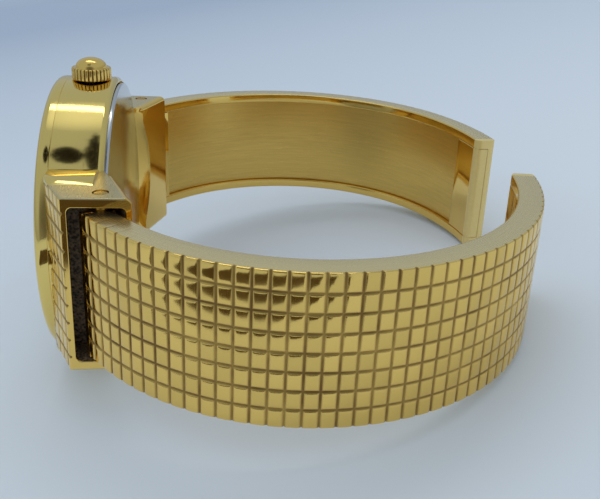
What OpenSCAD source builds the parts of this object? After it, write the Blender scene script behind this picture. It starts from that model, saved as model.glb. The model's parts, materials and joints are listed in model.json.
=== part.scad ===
// Cuff watch, lying on its side with the crown up.
// A round watch head carries a hooded lug on each side. A rigid cuff arm swings out of
// each lug on a pin and is sprung shut. Inside the head is a three-hand quartz movement.
//
// The watch is drawn in its own level frame and then leaned into the place where it rests.
// In the level frame X runs from the dial (-) to the open end of the cuff (+), Y runs from
// the near arm (-) to the far arm (+), and Z runs along the hinge pins, crown end up.
// The head is drawn face up: its own Z runs from the case back to the crystal, its own X
// points at the crown and its own Y at 12 o'clock.

/* [Case] */
// Outer diameter of the middle case
case_d = 29; // [28.8:0.1:30]
// Radial thickness of the middle case wall
case_wall = 1.9; // [1.8:0.05:2]
// Height of the middle case between the case back seat and the bezel seat
mid_h = 4.45; // [4.4:0.05:4.8]
// How far the rim of the middle case reaches down around the case back
rim_drop = 0.4; // [0.3:0.05:0.5]
// Width of that rim at the seam
rim_w = 0.5; // [0.4:0.05:0.6]
// Open seam between the rim and the case back
seam = 0.15; // [0.1:0.01:0.2]
// Height of the seat that the case back flange lies against
seat_h = 0.75; // [0.7:0.05:0.9]
// Thickness of the case back's centre
back_t = 0.5; // [0.4:0.05:0.6]
// Height of the case back's snap lip above its flange
snap_h = 0.5; // [0.4:0.05:0.55]
// Distance from the centre of the cuff to the wrist face of the case back
case_x = 12.7; // [12.4:0.1:13]

/* [Bezel and crystal] */
// Height of the bezel
bezel_h = 1.3; // [1.2:0.05:1.5]
// Radius of the bezel's rounded front edge
bezel_round = 0.7; // [0.5:0.05:0.8]
// Radial width of the bezel
bezel_w = 2; // [1.8:0.05:2.1]
// Thickness of the crystal at its edge
crystal_t = 1; // [0.9:0.05:1.1]
// Rise of the crystal's dome
crystal_rise = 0.5; // [0.3:0.05:0.7]
// Wall of the crystal's gasket
gasket_t = 0.22; // [0.18:0.01:0.3]

/* [Dial and hands] */
// Thickness of the dial
dial_t = 0.4; // [0.3:0.05:0.45]
// Height of the dial's seat above the wrist face
dial_z = 3.6; // [3.6:0.05:3.7]
// Diameter of the hour wheel's tube, where it passes the dial
hour_tube_d = 1.5; // [1.4:0.05:1.6]
// Length of the hour hand
hour_len = 6.3; // [5:0.1:7]
// Gap between the tip of the minute hand and the hour markers
minute_gap = 0.1; // [0.05:0.05:1]
// Length of the second hand
second_len = 9.8; // [8:0.1:10.2]
// Width of the hour hand
hand_w = 0.8; // [0.6:0.05:1]
// Thickness of a hand
hand_t = 0.14; // [0.1:0.01:0.16]
// Length of an hour marker
marker_len = 1.6; // [1.2:0.1:1.8]

/* [Crown] */
// Diameter of the crown over its flutes
crown_d = 3.9; // [3.7:0.1:4.2]
// Height of the fluted band
flute_h = 1.15; // [1.05:0.05:1.4]
// Diameter of the dome on the crown
dome_d = 3.1; // [2.9:0.05:3.3]
// Height of the dome
dome_h = 1; // [0.8:0.05:1.2]
// Number of flutes
flutes = 30; // [24:1:36]
// Depth of a flute
flute_depth = 0.14; // [0.1:0.01:0.18]
// How far the crown pulls out
crown_travel = 0.6; // [0.5:0.05:0.65]
// Outer diameter of the case tube
tube_d = 2.2; // [2:0.05:2.3]
// Diameter of the winding stem
stem_d = 0.84; // [0.8:0.02:0.9]

/* [Lugs] */
// Height of a lug along the hinge pin
lug_h = 16.8; // [16.8:0.1:17.2]
// How far a lug's outer face stands out past the side of the case
lug_reach = 4.25; // [4.2:0.05:4.6]
// Where the outer face meets the dial side
lug_dial_x = 15.7; // [15.6:0.05:15.8]
// Where the outer face meets the wrist side
lug_wrist_x = 9.7; // [9.5:0.05:9.75]
// Wall of the lug on its dial side
lug_wall = 0.52; // [0.48:0.02:0.6]
// Wall of the lug on its wrist side
lug_wrist_wall = 0.5; // [0.45:0.05:0.55]
// Rounding of the lug's wrist-side corners
lug_round = 0.6; // [0.5:0.05:0.7]
// Rise of the polished bolster between the case and a lug
bolster_rise = 0.4; // [0.3:0.05:0.5]

/* [Arms] */
// Width of an arm
arm_w = 14; // [13.6:0.1:14.1]
// Thickness of an arm
arm_t = 2.6; // [2.5:0.05:2.65]
// Thickness of the patterned outer plate
plate_t = 1; // [0.9:0.05:1.1]
// Width of the smooth rim along each edge
arm_rim = 1.1; // [0.9:0.1:1.4]
// Depth of the brushed liner below the rims
liner_recess = 0.5; // [0.3:0.05:0.6]
// Thickness of the liner
liner_t = 0.5; // [0.3:0.05:0.6]
// Radius of the first stretch, next to the hinge
bend_1 = 28; // [27:0.5:30]
// Turn of the first stretch in degrees
turn_1 = 13.3; // [12:0.1:15]
// Radius of the middle stretch
bend_2 = 22.4; // [21.8:0.2:23]
// Radius of the last stretch
bend_3 = 30; // [28:0.5:32]
// Turn of the last stretch in degrees
turn_3 = 22.6; // [18:0.2:24]
// Length of the block that closes the free end
tip_len = 5; // [4:0.1:6]
// Number of rows of squares across an arm
rows = 8; // [6:1:9]
// Pitch of the squares along an arm
square_pitch = 1.35; // [1.2:0.05:1.6]
// Width of the groove between squares
groove_w = 0.26; // [0.2:0.02:0.32]
// Depth of that groove
groove_depth = 0.14; // [0.1:0.01:0.18]

/* [Hinges] */
// Distance of a hinge pin from the middle of the cuff, towards the dial
pin_x = 12.5; // [12.45:0.05:12.6]
// Distance of a hinge pin from the side of the case
pin_out = 2.7; // [2.6:0.05:2.8]
// Diameter of a hinge pin
pin_d = 1.3; // [1.2:0.05:1.35]
// Diameter of the knuckle around a pin
knuckle_d = 2.6; // [2.5:0.05:2.7]
// Distance of the pin from the arm's middle line, towards the wrist
pin_inset = 0.72; // [0.65:0.01:0.75]
// Direction in which an arm leaves its hinge, in degrees from the line to the open end
arm_angle = 58; // [57.5:0.1:58.5]
// Play between an arm and a lug along the pin
side_gap = 0.5; // [0.4:0.05:0.5]
// Length of the hinge block that reaches into the arm
hinge_len = 4.5; // [3.5:0.1:5.5]
// Length of the coiled hinge spring
spring_len = 4.9; // [4:0.1:5.5]
// Wire diameter of the hinge spring
spring_wire = 0.28; // [0.22:0.02:0.3]
// Number of coils in the hinge spring
spring_turns = 10; // [6:1:12]

/* [Movement] */
// Diameter of the mainplate
plate_d = 18.6; // [18.4:0.1:18.8]
// Thickness of the mainplate
mainplate_t = 0.5; // [0.45:0.05:0.5]
// Height of the mainplate's back face
mainplate_z = 2.6; // [2.6:0.05:2.65]
// Thickness of the train bridge
bridge_t = 0.35; // [0.3:0.05:0.4]
// Height of the train bridge's back face
bridge_z = 1; // [0.95:0.05:1.05]
// Diameter of the button cell
cell_d = 6.8; // [6.4:0.1:6.8]
// Height of the button cell
cell_h = 2.1; // [1.8:0.1:2.1]
// Distance of the cell from the centre
cell_at = 5.75; // [5.7:0.05:5.8]
// Length of the coil
coil_len = 7; // [6:0.2:7.2]
// Diameter of the coil
coil_d = 1.4; // [1.2:0.05:1.4]
// Centre distance of the second and third wheels
train_gap = 2.55; // [2.5:0.01:2.6]
// Centre distance of the motion work
motion_gap = 1.9; // [1.85:0.01:1.95]
// Thickness of a train wheel
wheel_t = 0.15; // [0.12:0.01:0.16]

/* [Hidden] */
$fn = 96;

// Colours
gold = "#d9b660";
satin_gold = "#c9a85a";
steel = "#b9bcc0";
brass = "#c8a24c";
black = "#26282b";
white = "#eeece2";
copper = "#b4632f";
green = "#2f6b45";
glass = "#c8dcea80";

// Clearances
run_gap = 0.03; // a shaft in its hole
seat_gap = 0.02; // pieces that are set in and do not move
cut = 0.5; // how far a cut runs past the face that it opens
deg = 180 / PI;

// The head, along its own axis from the wrist face
case_r = case_d / 2;
bore_r = case_r - case_wall;
rim_z = seat_h - rim_drop;
bezel_z = seat_h + mid_h;
back_r = case_r - rim_w - seam;
lip_r = bore_r - 0.35;
lip_t = 0.8;
chamfer = 0.35;
bezel_in_r = case_r - bezel_w;
bezel_ledge_w = 0.5;
bezel_ledge_h = 0.25;
bezel_lip_h = 0.5;
bezel_lip_t = 0.35;
bezel_front_z = bezel_z + bezel_h;
crystal_r = bezel_in_r - gasket_t - 2 * seat_gap;
crystal_z = bezel_z + bezel_ledge_h + seat_gap;

// Levels inside the head
stem_z = 2.85;
dial_top = dial_z + dial_t;
hour_hand_z = dial_top + 0.35;
minute_hand_z = hour_hand_z + hand_t + 0.15;
second_hand_z = minute_hand_z + hand_t + 0.15;
dial_r = bore_r - 0.3;
track_w = 1.4;
marker_out = dial_r - track_w;
minute_len = marker_out - marker_len - minute_gap;
ring_r = bore_r - bezel_lip_t - 0.05;

// Time shown: ten past ten and thirty-five seconds
shown_h = 10;
shown_m = 10;
shown_s = 35;

// The crown and its stem, along their own axis from the middle of the head
crown_base = case_r + 0.1;
tube_in = bore_r + 0.05;
tube_out = crown_base + 0.85;
recess_r = tube_d / 2 + 0.2;
recess_top = tube_out + 0.1;
stem_in = 3.7;
stem_grip = 0.55;
groove_at = 7.4;
stud_r = 0.2;
neck_r = 0.25;
neck_len = 2 * stud_r + 0.16;
lever_reach = 2.4;
lever_z = 2.1;
lever_t = 0.2;
stud_y = neck_r + stud_r + 0.05;
lever_at = [groove_at + crown_travel / 2, stud_y + lever_reach];

// The lugs, in the level frame
lug_top = lug_h / 2;
lug_y = case_r + lug_reach;
lug_root = [case_x + 5.1, case_r - 0.2];
lug_heel = [case_x - 0.8, case_r - 1.7];
lug_toe = [case_x - 0.3, case_r - 2.3];
pin_y = case_r + pin_out;
lug_clear_r = case_r - 0.15;
mouth_h = arm_w + 2 * side_gap;
bolster_y0 = case_r - 3.2;
bolster_y1 = case_r + 1;
groove_margin = 0.7;
cavity_y = pin_y - knuckle_d / 2 - 0.5;

// The arms, in the level frame, with lengths measured along the middle line.
// The middle stretch turns by 90 degrees and the small angle of a 7-24-25 triangle, so the
// stretches meet in points of few decimals and join without a sliver.
turn_2 = 90 + asin(7 / 25);
bends = [bend_1, bend_2, bend_3];
turns = [turn_1, turn_2, turn_3];
heading = -arm_angle;
arm_start = [-pin_x, -pin_y] - pin_inset * left_of(heading);
arm_len = stretch_at(3);
knuckle_len = 0.6;
spring_r = pin_d / 2 + 0.2 + spring_wire / 2;
spring_room = spring_len + 0.3;
joint_reach = 15; // how far the cut between two stretches runs to each side of the middle line
groove_from = 1.5;
// The grooves along an arm are a little shallower than those across it, so no two bottoms meet
row_depth = groove_depth - 0.02;

// Where the watch comes to rest: on the back edge of the case and on the two arm tips
tip_out = end_point() + arm_t / 2 * [sin(end_heading()), -cos(end_heading())];
case_edge = -case_x - seat_h;
lean = atan((case_r - arm_w / 2) / (tip_out[0] - case_edge));
lift = case_edge * sin(lean) + case_r * cos(lean);
front_low = -(case_x + bezel_front_z) * cos(lean) - (case_r - bezel_round) * sin(lean);
end_high = tip_out[0] * cos(lean) + arm_w / 2 * sin(lean);
shift = -(front_low + end_high) / 2;

// Movement layout, seen from the dial with the crown at 3 o'clock
cell_pos = polar(cell_at, 150);
cell_z = 0.95;
fifth_gap = 2.4;
fifth_pos = polar(fifth_gap, 255);
rotor_gap = 1.68;
rotor_turn = 235;
rotor_pos = fifth_pos + polar(rotor_gap, rotor_turn);
third_turn = 40;
third_pos = polar(train_gap, third_turn);
minute_turn = -40;
minute_pos = polar(motion_gap, minute_turn);
coil_y = -6.9;
coil_z = 1.8;
coil_x = -0.4;
post_pos = [[3, 4.6], [-3, -0.9], [1.6, -3.6]];
post_d = 1;
screw_d = 0.5;
foot_pos = [polar(8, 100), polar(8, -75)];
foot_d = 0.6;
board_t = 0.3;
pivot_r = 0.12;
second_arbor_r = 0.15;
cannon_r = 0.45;
cannon_hole = 0.22;

// Teeth
teeth_rotor = 6;
teeth_fifth = 36;
teeth_fifth_pinion = 10;
teeth_fourth = 50;
teeth_fourth_pinion = 8;
teeth_third = 60;
teeth_third_pinion = 8;
teeth_centre = 64;
teeth_cannon = 12;
teeth_minute = 36;
teeth_minute_pinion = 10;
teeth_hour = 40;

// Points and directions
function polar(r, a) = r * [cos(a), sin(a)];
function left_of(h) = [-sin(h), cos(h)];
function arc_points(c, r, a0, a1, n) = [for (i = [0:n]) c + polar(r, a0 + (a1 - a0) * i / n)];

// The middle line of an arm is a chain of three arcs that meet without a corner
function stretch_len(k) = bends[k] * turns[k] / deg;
function stretch_at(k) = k == 0 ? 0 : stretch_at(k - 1) + stretch_len(k - 1);
function stretch_heading(k) = k == 0 ? heading : stretch_heading(k - 1) + turns[k - 1];
function stretch_start(k) =
  k == 0 ? arm_start
  : stretch_centre(k - 1) - bends[k - 1] * left_of(stretch_heading(k));
function stretch_centre(k) = stretch_start(k) + bends[k] * left_of(stretch_heading(k));
function end_heading() = stretch_heading(3);
function end_point() = stretch_start(3);
function stretch_of(s) = s < stretch_at(1) ? 0 : s < stretch_at(2) ? 1 : 2;
function bend_centre(k) = k == 2
  ? [0, bends[1]] + (bends[1] - bends[2]) * polar(1, turn_2 - 90)
  : [0, bends[k]];
function bend_angle(k, s) = k == 2
  ? turn_2 - 90 + (s - stretch_at(2)) / bends[2] * deg
  : -90 + (s - stretch_at(1)) / bends[k] * deg;

// Outline of a toothed wheel with the given pitch radius
function tooth_outline(n, r) =
  let (pitch = 2 * PI * r / n, tall = 0.28 * pitch, step = 360 / n)
  [for (i = [0:n - 1], k = [0:3])
    polar(k == 0 || k == 3 ? r - tall : r + 0.8 * tall,
          i * step + [-0.26, -0.13, 0.13, 0.26][k] * step)];

// Leans the level watch into its resting place
module at_rest() {
  translate([shift, 0, lift]) rotate([0, lean, 0]) children();
}

// Stands the head on its side, dial towards -X and crown up
module in_head() {
  at_rest() translate([-case_x, 0, 0]) rotate([0, -90, 0]) children();
}

// Turns a piece so that its Z runs out along the crown's axis
module along_stem() {
  translate([0, 0, stem_z]) rotate([0, 90, 0]) children();
}

// Places a piece of the near side as it is, or mirrored to the far side
module on_side(far) {
  at_rest() mirror([0, far ? 1 : 0, 0]) children();
}

module disc(r, z0, z1) {
  translate([0, 0, z0]) cylinder(r = r, h = z1 - z0);
}

module ring(r_out, r_in, z0, z1) {
  difference() {
    disc(r_out, z0, z1);
    disc(r_in, z0 - cut, z1 + cut);
  }
}

module pillar(p, r, z0, z1) {
  translate(p) disc(r, z0, z1);
}

// A flat bar between two points
module bar(p, q, w, z0, z1) {
  d = q - p;
  translate([p[0], p[1], z0])
    rotate([0, 0, atan2(d[1], d[0])])
      translate([0, -w / 2, 0])
        cube([norm(d), w, z1 - z0]);
}

// A toothed wheel with a tooth, or a gap, that points at the angle
module toothed(n, r, z0, z1, angle, gap) {
  translate([0, 0, z0])
    rotate([0, 0, angle + (gap ? 180 / n : 0)])
      linear_extrude(z1 - z0)
        polygon(tooth_outline(n, r));
}

// An arm is drawn where its first two stretches meet, with X along it and Y into the cuff
module in_arm() {
  translate(stretch_start(1)) rotate([0, 0, stretch_heading(1)]) children();
}

// A sector of the stretch k, between two directions seen from its centre. Two stretches that
// meet are cut between the same two points.
module sector(k, a0, a1) {
  c = bend_centre(k);
  linear_extrude(2 * arm_w, center = true)
    polygon(concat(arc_points(c, bends[k] + joint_reach, a0, a1, 2),
                   arc_points(c, bends[k] - joint_reach, a1, a0, 2)));
}

// Sweeps a section along an arm: the section's X points out of the cuff, its Y along the pin
module along_arm(s0, s1) {
  in_arm()
    for (k = [0:2])
      if (s0 < stretch_at(k + 1) && s1 > stretch_at(k))
        intersection() {
          translate(bend_centre(k))
            rotate([0, 0, 180])
              rotate_extrude($fn = 360)
                translate([bends[k], 0])
                  children();
          sector(k, bend_angle(k, max(s0, stretch_at(k))), bend_angle(k, min(s1, stretch_at(k + 1))));
        }
}

// Moves a piece to a place on the arm's middle line, its X out of the cuff
module at_arm(s) {
  k = stretch_of(s);
  in_arm()
    translate(bend_centre(k))
      rotate([0, 0, bend_angle(k, s)])
        translate([bends[k], 0, 0])
          children();
}

module rect(x0, x1, y0, y1) {
  translate([x0, y0]) square([x1 - x0, y1 - y0]);
}

// A V-shaped groove cut into a face at X = 0, with the solid on its +X side
module groove_outline() {
  flare = groove_w / 2 * (1 + cut / groove_depth);
  polygon([[groove_depth, 0], [-cut, flare], [-cut, -flare]]);
}

// Case

module mid_profile() {
  polygon([
    [bore_r, seat_h], [back_r + seam, seat_h], [back_r + seam, rim_z],
    [case_r - chamfer, rim_z], [case_r, rim_z + chamfer], [case_r, bezel_z], [bore_r, bezel_z]
  ]);
}

module lug_plan() {
  polygon([
    [-case_x - rim_z, -lug_toe[1]], [-lug_toe[0], -lug_toe[1]], [-lug_heel[0], -lug_heel[1]],
    [-lug_wrist_x, -lug_y], [-lug_dial_x, -lug_y], [-lug_root[0], -lug_root[1]],
    [-lug_root[0], -bore_r + 2], [-case_x - rim_z, -bore_r + 2]
  ]);
}

// Rounds the two wrist-side corners, along the slope of the lug's wrist side
module lug_round_mask() {
  run = [lug_heel[0] - lug_wrist_x, lug_y - lug_heel[1]];
  depth = 12;
  proud = 0.01; // the mask stands a hair outside the lug's faces, so no two faces meet in one plane
  arc_z = lug_top + proud - lug_round;
  translate([-lug_heel[0], -lug_heel[1], 0])
    rotate([0, 0, atan2(run[0], run[1])])
      rotate([90, 0, 0])
        translate([0, 0, -depth / 2])
          linear_extrude(norm(run) + depth) {
            rect(-depth, proud - lug_round, -lug_top - proud, lug_top + proud);
            rect(-depth, proud, -arc_z, arc_z);
            for (side = [-1, 1])
              translate([proud - lug_round, side * arc_z]) circle(r = lug_round);
          }
}

// The polished bolster above and below a lug, between the case and the hood
module bolster() {
  half = (bolster_y1 - bolster_y0) / 2;
  r = (half * half + bolster_rise * bolster_rise) / (2 * bolster_rise);
  for (side = [-1, 1])
    intersection() {
      translate([-lug_root[0] - cut, -bolster_y0 - half, side * (lug_top + bolster_rise - r)])
        rotate([0, 90, 0])
          cylinder(r = r, h = lug_root[0] + cut - case_x - rim_z - chamfer);
      translate([0, 0, side > 0 ? 0 : -2 * lug_top]) linear_extrude(2 * lug_top) lug_plan();
    }
}

// The lug's dial side is grooved into squares like the arms
module lug_grooves() {
  run = [lug_root[0] - lug_dial_x, lug_y - lug_root[1]];
  row = arm_w / rows;
  across = norm(run) - groove_margin;
  translate([-lug_dial_x, -lug_y, 0])
    rotate([0, 0, atan2(run[0], run[1])]) {
      for (i = [0:floor((across - groove_margin) / square_pitch)])
        translate([0, groove_margin + i * square_pitch, -lug_top - cut])
          linear_extrude(lug_h + 2 * cut)
            groove_outline();
      for (j = [-floor(lug_top / row):floor(lug_top / row)])
        translate([0, -cut, j * row])
          rotate([-90, 0, 0])
            linear_extrude(norm(run) + 2 * cut)
              translate([row_depth - groove_depth, 0]) groove_outline();
    }
}

module lug() {
  intersection() {
    translate([0, 0, -lug_top]) linear_extrude(lug_h) lug_plan();
    lug_round_mask();
  }
  bolster();
}

// The pocket that the arm swings in, open at the lug's outer face
module lug_pocket() {
  dial_slope = (lug_root[0] - lug_dial_x) / (lug_y - lug_root[1]);
  wrist_slope = (lug_heel[0] - lug_wrist_x) / (lug_y - lug_heel[1]);
  dial_wall = lug_wall * norm([1, dial_slope]);
  wrist_wall = lug_wrist_wall * norm([1, wrist_slope]);
  y_out = lug_y + cut;
  translate([0, 0, -mouth_h / 2])
    linear_extrude(mouth_h)
      polygon([
        [-lug_dial_x + dial_wall + dial_slope * cut, -y_out],
        [-lug_wrist_x - wrist_wall + wrist_slope * cut, -y_out],
        [-lug_wrist_x - wrist_wall - wrist_slope * (lug_y - cavity_y), -cavity_y],
        [-lug_dial_x + dial_wall - dial_slope * (lug_y - cavity_y), -cavity_y]
      ]);
}

module level_to_head() {
  translate([-case_x, 0, 0]) rotate([0, -90, 0]) children();
}

module case_body_shape() {
  difference() {
    union() {
      level_to_head() rotate_extrude() mid_profile();
      for (far = [0, 1]) mirror([0, far, 0]) lug();
    }
    level_to_head() {
      disc(bore_r, seat_h - cut, bezel_z + cut);
      disc(back_r + seam, rim_z - cut, seat_h);
      disc(lug_clear_r, -4, rim_z);
      along_stem() disc(tube_d / 2 + seat_gap, bore_r - cut, case_r + cut);
    }
    for (far = [0, 1])
      mirror([0, far, 0]) {
        lug_pocket();
        lug_grooves();
        translate([-pin_x, -pin_y, 0]) disc(pin_d / 2 + seat_gap, -lug_h, lug_h);
      }
  }
}

module case_body() {
  color(gold) at_rest() case_body_shape();
}

module bezel() {
  corner = [case_r - bezel_round, bezel_front_z - bezel_round];
  color(gold) in_head() rotate_extrude()
    polygon(concat(
      [[bore_r - seat_gap, bezel_z - bezel_lip_h], [bore_r - seat_gap, bezel_z],
       [case_r - 0.15, bezel_z], [case_r, bezel_z + 0.15]],
      arc_points(corner, bezel_round, 0, 90, 8),
      [[bezel_in_r + 0.35, bezel_front_z], [bezel_in_r, bezel_front_z - 0.2],
       [bezel_in_r, bezel_z + bezel_ledge_h],
       [bezel_in_r - bezel_ledge_w, bezel_z + bezel_ledge_h],
       [bezel_in_r - bezel_ledge_w, bezel_z - seat_gap],
       [bore_r - bezel_lip_t, bezel_z - seat_gap], [bore_r - bezel_lip_t, bezel_z - bezel_lip_h]]
    ));
}

module crystal() {
  edge_z = crystal_z + crystal_t;
  dome_r = (crystal_r * crystal_r + crystal_rise * crystal_rise) / (2 * crystal_rise);
  half = asin(crystal_r / dome_r);
  color(glass) in_head() rotate_extrude()
    polygon(concat(
      [[0, crystal_z], [crystal_r, crystal_z]],
      arc_points([0, edge_z + crystal_rise - dome_r], dome_r, 90 - half, 90, 10)
    ));
}

module crystal_gasket() {
  color(white) in_head()
    ring(crystal_r + seat_gap + gasket_t, crystal_r + seat_gap, crystal_z, crystal_z + 0.75 * crystal_t);
}

module case_back() {
  color(steel) in_head() difference() {
    union() {
      disc(back_r, 0, seat_h - seat_gap);
      disc(lip_r, 0, seat_h + snap_h);
    }
    disc(lip_r - lip_t, back_t, seat_h + snap_h + cut);
  }
}

module case_back_gasket() {
  color(black) in_head()
    ring(bore_r - seat_gap, lip_r + seat_gap, seat_h, seat_h + 0.4);
}

// Dial side

module dial() {
  color(white) in_head() difference() {
    union() {
      disc(dial_r, dial_z, dial_top);
      for (p = foot_pos) pillar(p, foot_d / 2, mainplate_z + 0.1, dial_z + dial_t / 2);
    }
    disc(hour_tube_d / 2 + 0.1, dial_z - cut, dial_top + cut);
  }
}

module dial_ring() {
  color(gold) in_head() rotate_extrude()
    polygon([
      [ring_r - 1.1, dial_top], [ring_r, dial_top],
      [ring_r, bezel_z - bezel_lip_h + 0.4], [ring_r - 0.3, bezel_z - bezel_lip_h + 0.4],
      [ring_r - 1.1, dial_top + 0.3]
    ]);
}

module hour_markers() {
  color(gold) in_head()
    for (i = [0:11])
      rotate([0, 0, 90 - 30 * i])
        translate([marker_out - marker_len, i % 3 == 0 ? -0.3 : -0.2, dial_top])
          cube([marker_len, i % 3 == 0 ? 0.6 : 0.4, 0.2]);
}

// A hand that points at its angle, counted clockwise from 12 o'clock
module hand(len, w, hub_r, hole_r, z, angle, tail) {
  rotate([0, 0, 90 - angle])
    difference() {
      union() {
        disc(hub_r, z, z + hand_t);
        translate([0, 0, z])
          linear_extrude(hand_t)
            polygon([[-tail, -w * 0.4], [0, -w / 2], [len * 0.75, -w / 2], [len, -w * 0.12],
                     [len, w * 0.12], [len * 0.75, w / 2], [0, w / 2], [-tail, w * 0.4]]);
      }
      disc(hole_r, z - cut, z + hand_t + cut);
    }
}

module hour_hand() {
  color(gold) in_head()
    hand(hour_len, hand_w, hour_tube_d / 2 + 0.35, hour_tube_d / 2 + 0.01, hour_hand_z,
         30 * (shown_h + shown_m / 60), 1.6);
}

module minute_hand() {
  color(gold) in_head()
    hand(minute_len, hand_w * 0.75, cannon_r + 0.4, cannon_r + 0.01, minute_hand_z,
         6 * shown_m, 1.8);
}

module second_hand() {
  color(gold) in_head()
    hand(second_len, hand_w * 0.3, 0.5, second_arbor_r + 0.01, second_hand_z, 6 * shown_s, 2.8);
}

// Crown

module crown() {
  color(gold) in_head() along_stem() difference() {
    union() {
      translate([0, 0, crown_base])
        linear_extrude(flute_h)
          polygon([for (i = [0:flutes - 1], k = [0:3])
            polar(crown_d / 2 - (k == 0 || k == 3 ? flute_depth : 0),
                  360 / flutes * (i + [-0.34, -0.2, 0.2, 0.34][k]))]);
      translate([0, 0, crown_base + flute_h])
        rotate_extrude()
          polygon(concat([[0, 0]],
            [for (i = [0:12]) [dome_d / 2 * cos(7.5 * i), dome_h * sin(7.5 * i)]]));
    }
    disc(recess_r, crown_base - cut, recess_top);
    disc(stem_d / 2 + 0.01, recess_top - cut, recess_top + stem_grip);
  }
}

module stem() {
  color(steel) in_head() along_stem() {
    disc(stem_d / 2, groove_at + neck_len / 2, recess_top + stem_grip - seat_gap);
    disc(neck_r, groove_at - neck_len / 2, groove_at + neck_len / 2);
    disc(stem_d / 2, stem_in + 1.2, groove_at - neck_len / 2);
    disc(0.3, stem_in, stem_in + 1.2);
  }
}

module crown_gasket() {
  wire = 0.08;
  color(black) in_head() along_stem()
    translate([0, 0, crown_base + 0.2])
      rotate_extrude() translate([(tube_d / 2 + recess_r) / 2, 0]) circle(r = wire, $fn = 24);
}

module crown_tube() {
  color(steel) in_head() along_stem()
    ring(tube_d / 2, stem_d / 2 + run_gap, tube_in, tube_out);
}

module setting_lever() {
  swing = asin(crown_travel / 2 / lever_reach);
  color(steel) in_head()
    translate(lever_at)
      rotate([0, 0, -90 - swing])
        difference() {
          union() {
            disc(0.62, lever_z, lever_z + lever_t);
            bar([0, 0], [lever_reach, 0], 0.6, lever_z, lever_z + lever_t);
            pillar([lever_reach, 0], 0.3, lever_z, lever_z + lever_t);
            pillar([lever_reach, 0], stud_r, lever_z, stem_z + 0.25);
          }
          disc(0.3 + run_gap, lever_z - cut, lever_z + lever_t + cut);
        }
}

// Movement

module movement_holder() {
  hold_r = plate_d / 2;
  color(white) in_head() difference() {
    rotate_extrude()
      polygon([
        [hold_r + 0.05, seat_h + snap_h + 0.1], [bore_r - 0.15, seat_h + snap_h + 0.1],
        [bore_r - 0.15, dial_z], [hold_r - 0.7, dial_z],
        [hold_r - 0.7, mainplate_z + mainplate_t], [hold_r + 0.05, mainplate_z + mainplate_t]
      ]);
    along_stem() disc(stem_d / 2 + 0.15, 0, case_r);
  }
}

module mainplate() {
  top = mainplate_z + mainplate_t;
  color(brass) in_head() difference() {
    union() {
      disc(plate_d / 2, mainplate_z, top);
      for (p = post_pos) pillar(p, post_d / 2, bridge_z + bridge_t, mainplate_z + 0.1);
      pillar(lever_at, 0.3, lever_z - 0.1, mainplate_z + 0.1);
    }
    pillar(cell_pos, cell_d / 2 + 0.1, mainplate_z - cut, top + cut);
    disc(cannon_r + run_gap, mainplate_z - cut, top + cut);
    for (p = [fifth_pos, rotor_pos, third_pos])
      pillar(p, pivot_r + run_gap, mainplate_z - cut, top + cut);
    for (p = foot_pos) pillar(p, foot_d / 2 + seat_gap, mainplate_z - cut, top + cut);
    for (p = post_pos) pillar(p, screw_d / 2 + 0.01, bridge_z, mainplate_z - 0.2);
    pillar(minute_pos, 0.2, top - 0.25, top + cut);
    bar([stem_in - 0.2, 0], [plate_d / 2 + cut, 0], stem_d + 0.3, mainplate_z - cut, top + cut);
    stud_swing = stud_r + 0.12;
    bar([groove_at - stud_swing, stud_y + 0.02],
        [groove_at + crown_travel + stud_swing, stud_y + 0.02],
        2 * stud_swing, mainplate_z - cut, top + cut);
  }
}

module train_bridge() {
  z1 = bridge_z + bridge_t;
  color(steel) in_head() difference() {
    union() {
      disc(1, bridge_z, z1);
      for (p = concat(post_pos, [fifth_pos, third_pos, rotor_pos])) {
        pillar(p, 0.7, bridge_z, z1);
        bar([0, 0], p, 1.1, bridge_z, z1);
      }
    }
    disc(second_arbor_r + run_gap, bridge_z - cut, z1 + cut);
    for (p = [fifth_pos, third_pos, rotor_pos])
      pillar(p, pivot_r + run_gap, bridge_z - cut, z1 + cut);
    for (p = post_pos) pillar(p, screw_d / 2 + run_gap, bridge_z - cut, z1 + cut);
  }
}

module bridge_screws() {
  color(steel) in_head()
    for (p = post_pos)
      difference() {
        union() {
          pillar(p, 0.45, bridge_z - 0.2, bridge_z);
          pillar(p, screw_d / 2, bridge_z - 0.1, mainplate_z - 0.4);
        }
        translate([p[0] - 0.5, p[1] - 0.05, bridge_z - 0.3]) cube([1, 0.1, 0.2]);
      }
}

module button_cell() {
  color(steel) in_head() translate(cell_pos)
    rotate_extrude()
      polygon([
        [0, cell_z], [cell_d / 2 - 0.15, cell_z], [cell_d / 2, cell_z + 0.15],
        [cell_d / 2, cell_z + 0.75 * cell_h], [cell_d / 2 - 0.4, cell_z + 0.85 * cell_h],
        [cell_d / 2 - 0.4, cell_z + cell_h], [0, cell_z + cell_h]
      ]);
}

module cell_clip() {
  half = cell_d / 2 + 0.3;
  thick = 0.13;
  color(brass) in_head() translate(cell_pos) rotate([0, 0, 60]) {
    translate([-half, -0.7, cell_z - thick]) cube([2 * half, 1.4, thick]);
    for (side = [-1, 1])
      translate([side > 0 ? half - 0.15 : -half, -0.7, cell_z - thick])
        cube([0.15, 1.4, mainplate_z - cell_z + thick]);
  }
}

module coil() {
  color(copper) in_head()
    translate([coil_x, coil_y, coil_z])
      rotate([0, 90, 0])
        difference() {
          cylinder(d = coil_d, h = coil_len, center = true);
          cube([0.4, 0.64, coil_len + cut], center = true);
        }
}

module coil_core() {
  reach = coil_len / 2 + 1.1;
  color(steel) in_head()
    translate([coil_x, coil_y, coil_z - 0.18]) {
      translate([-reach, -0.3, 0]) cube([2 * reach, 0.6, 0.36]);
      for (side = [-1, 1])
        translate([side * (reach - 0.45), 0, 0]) cylinder(r = 0.6, h = 0.36 + 0.1);
    }
}

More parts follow.
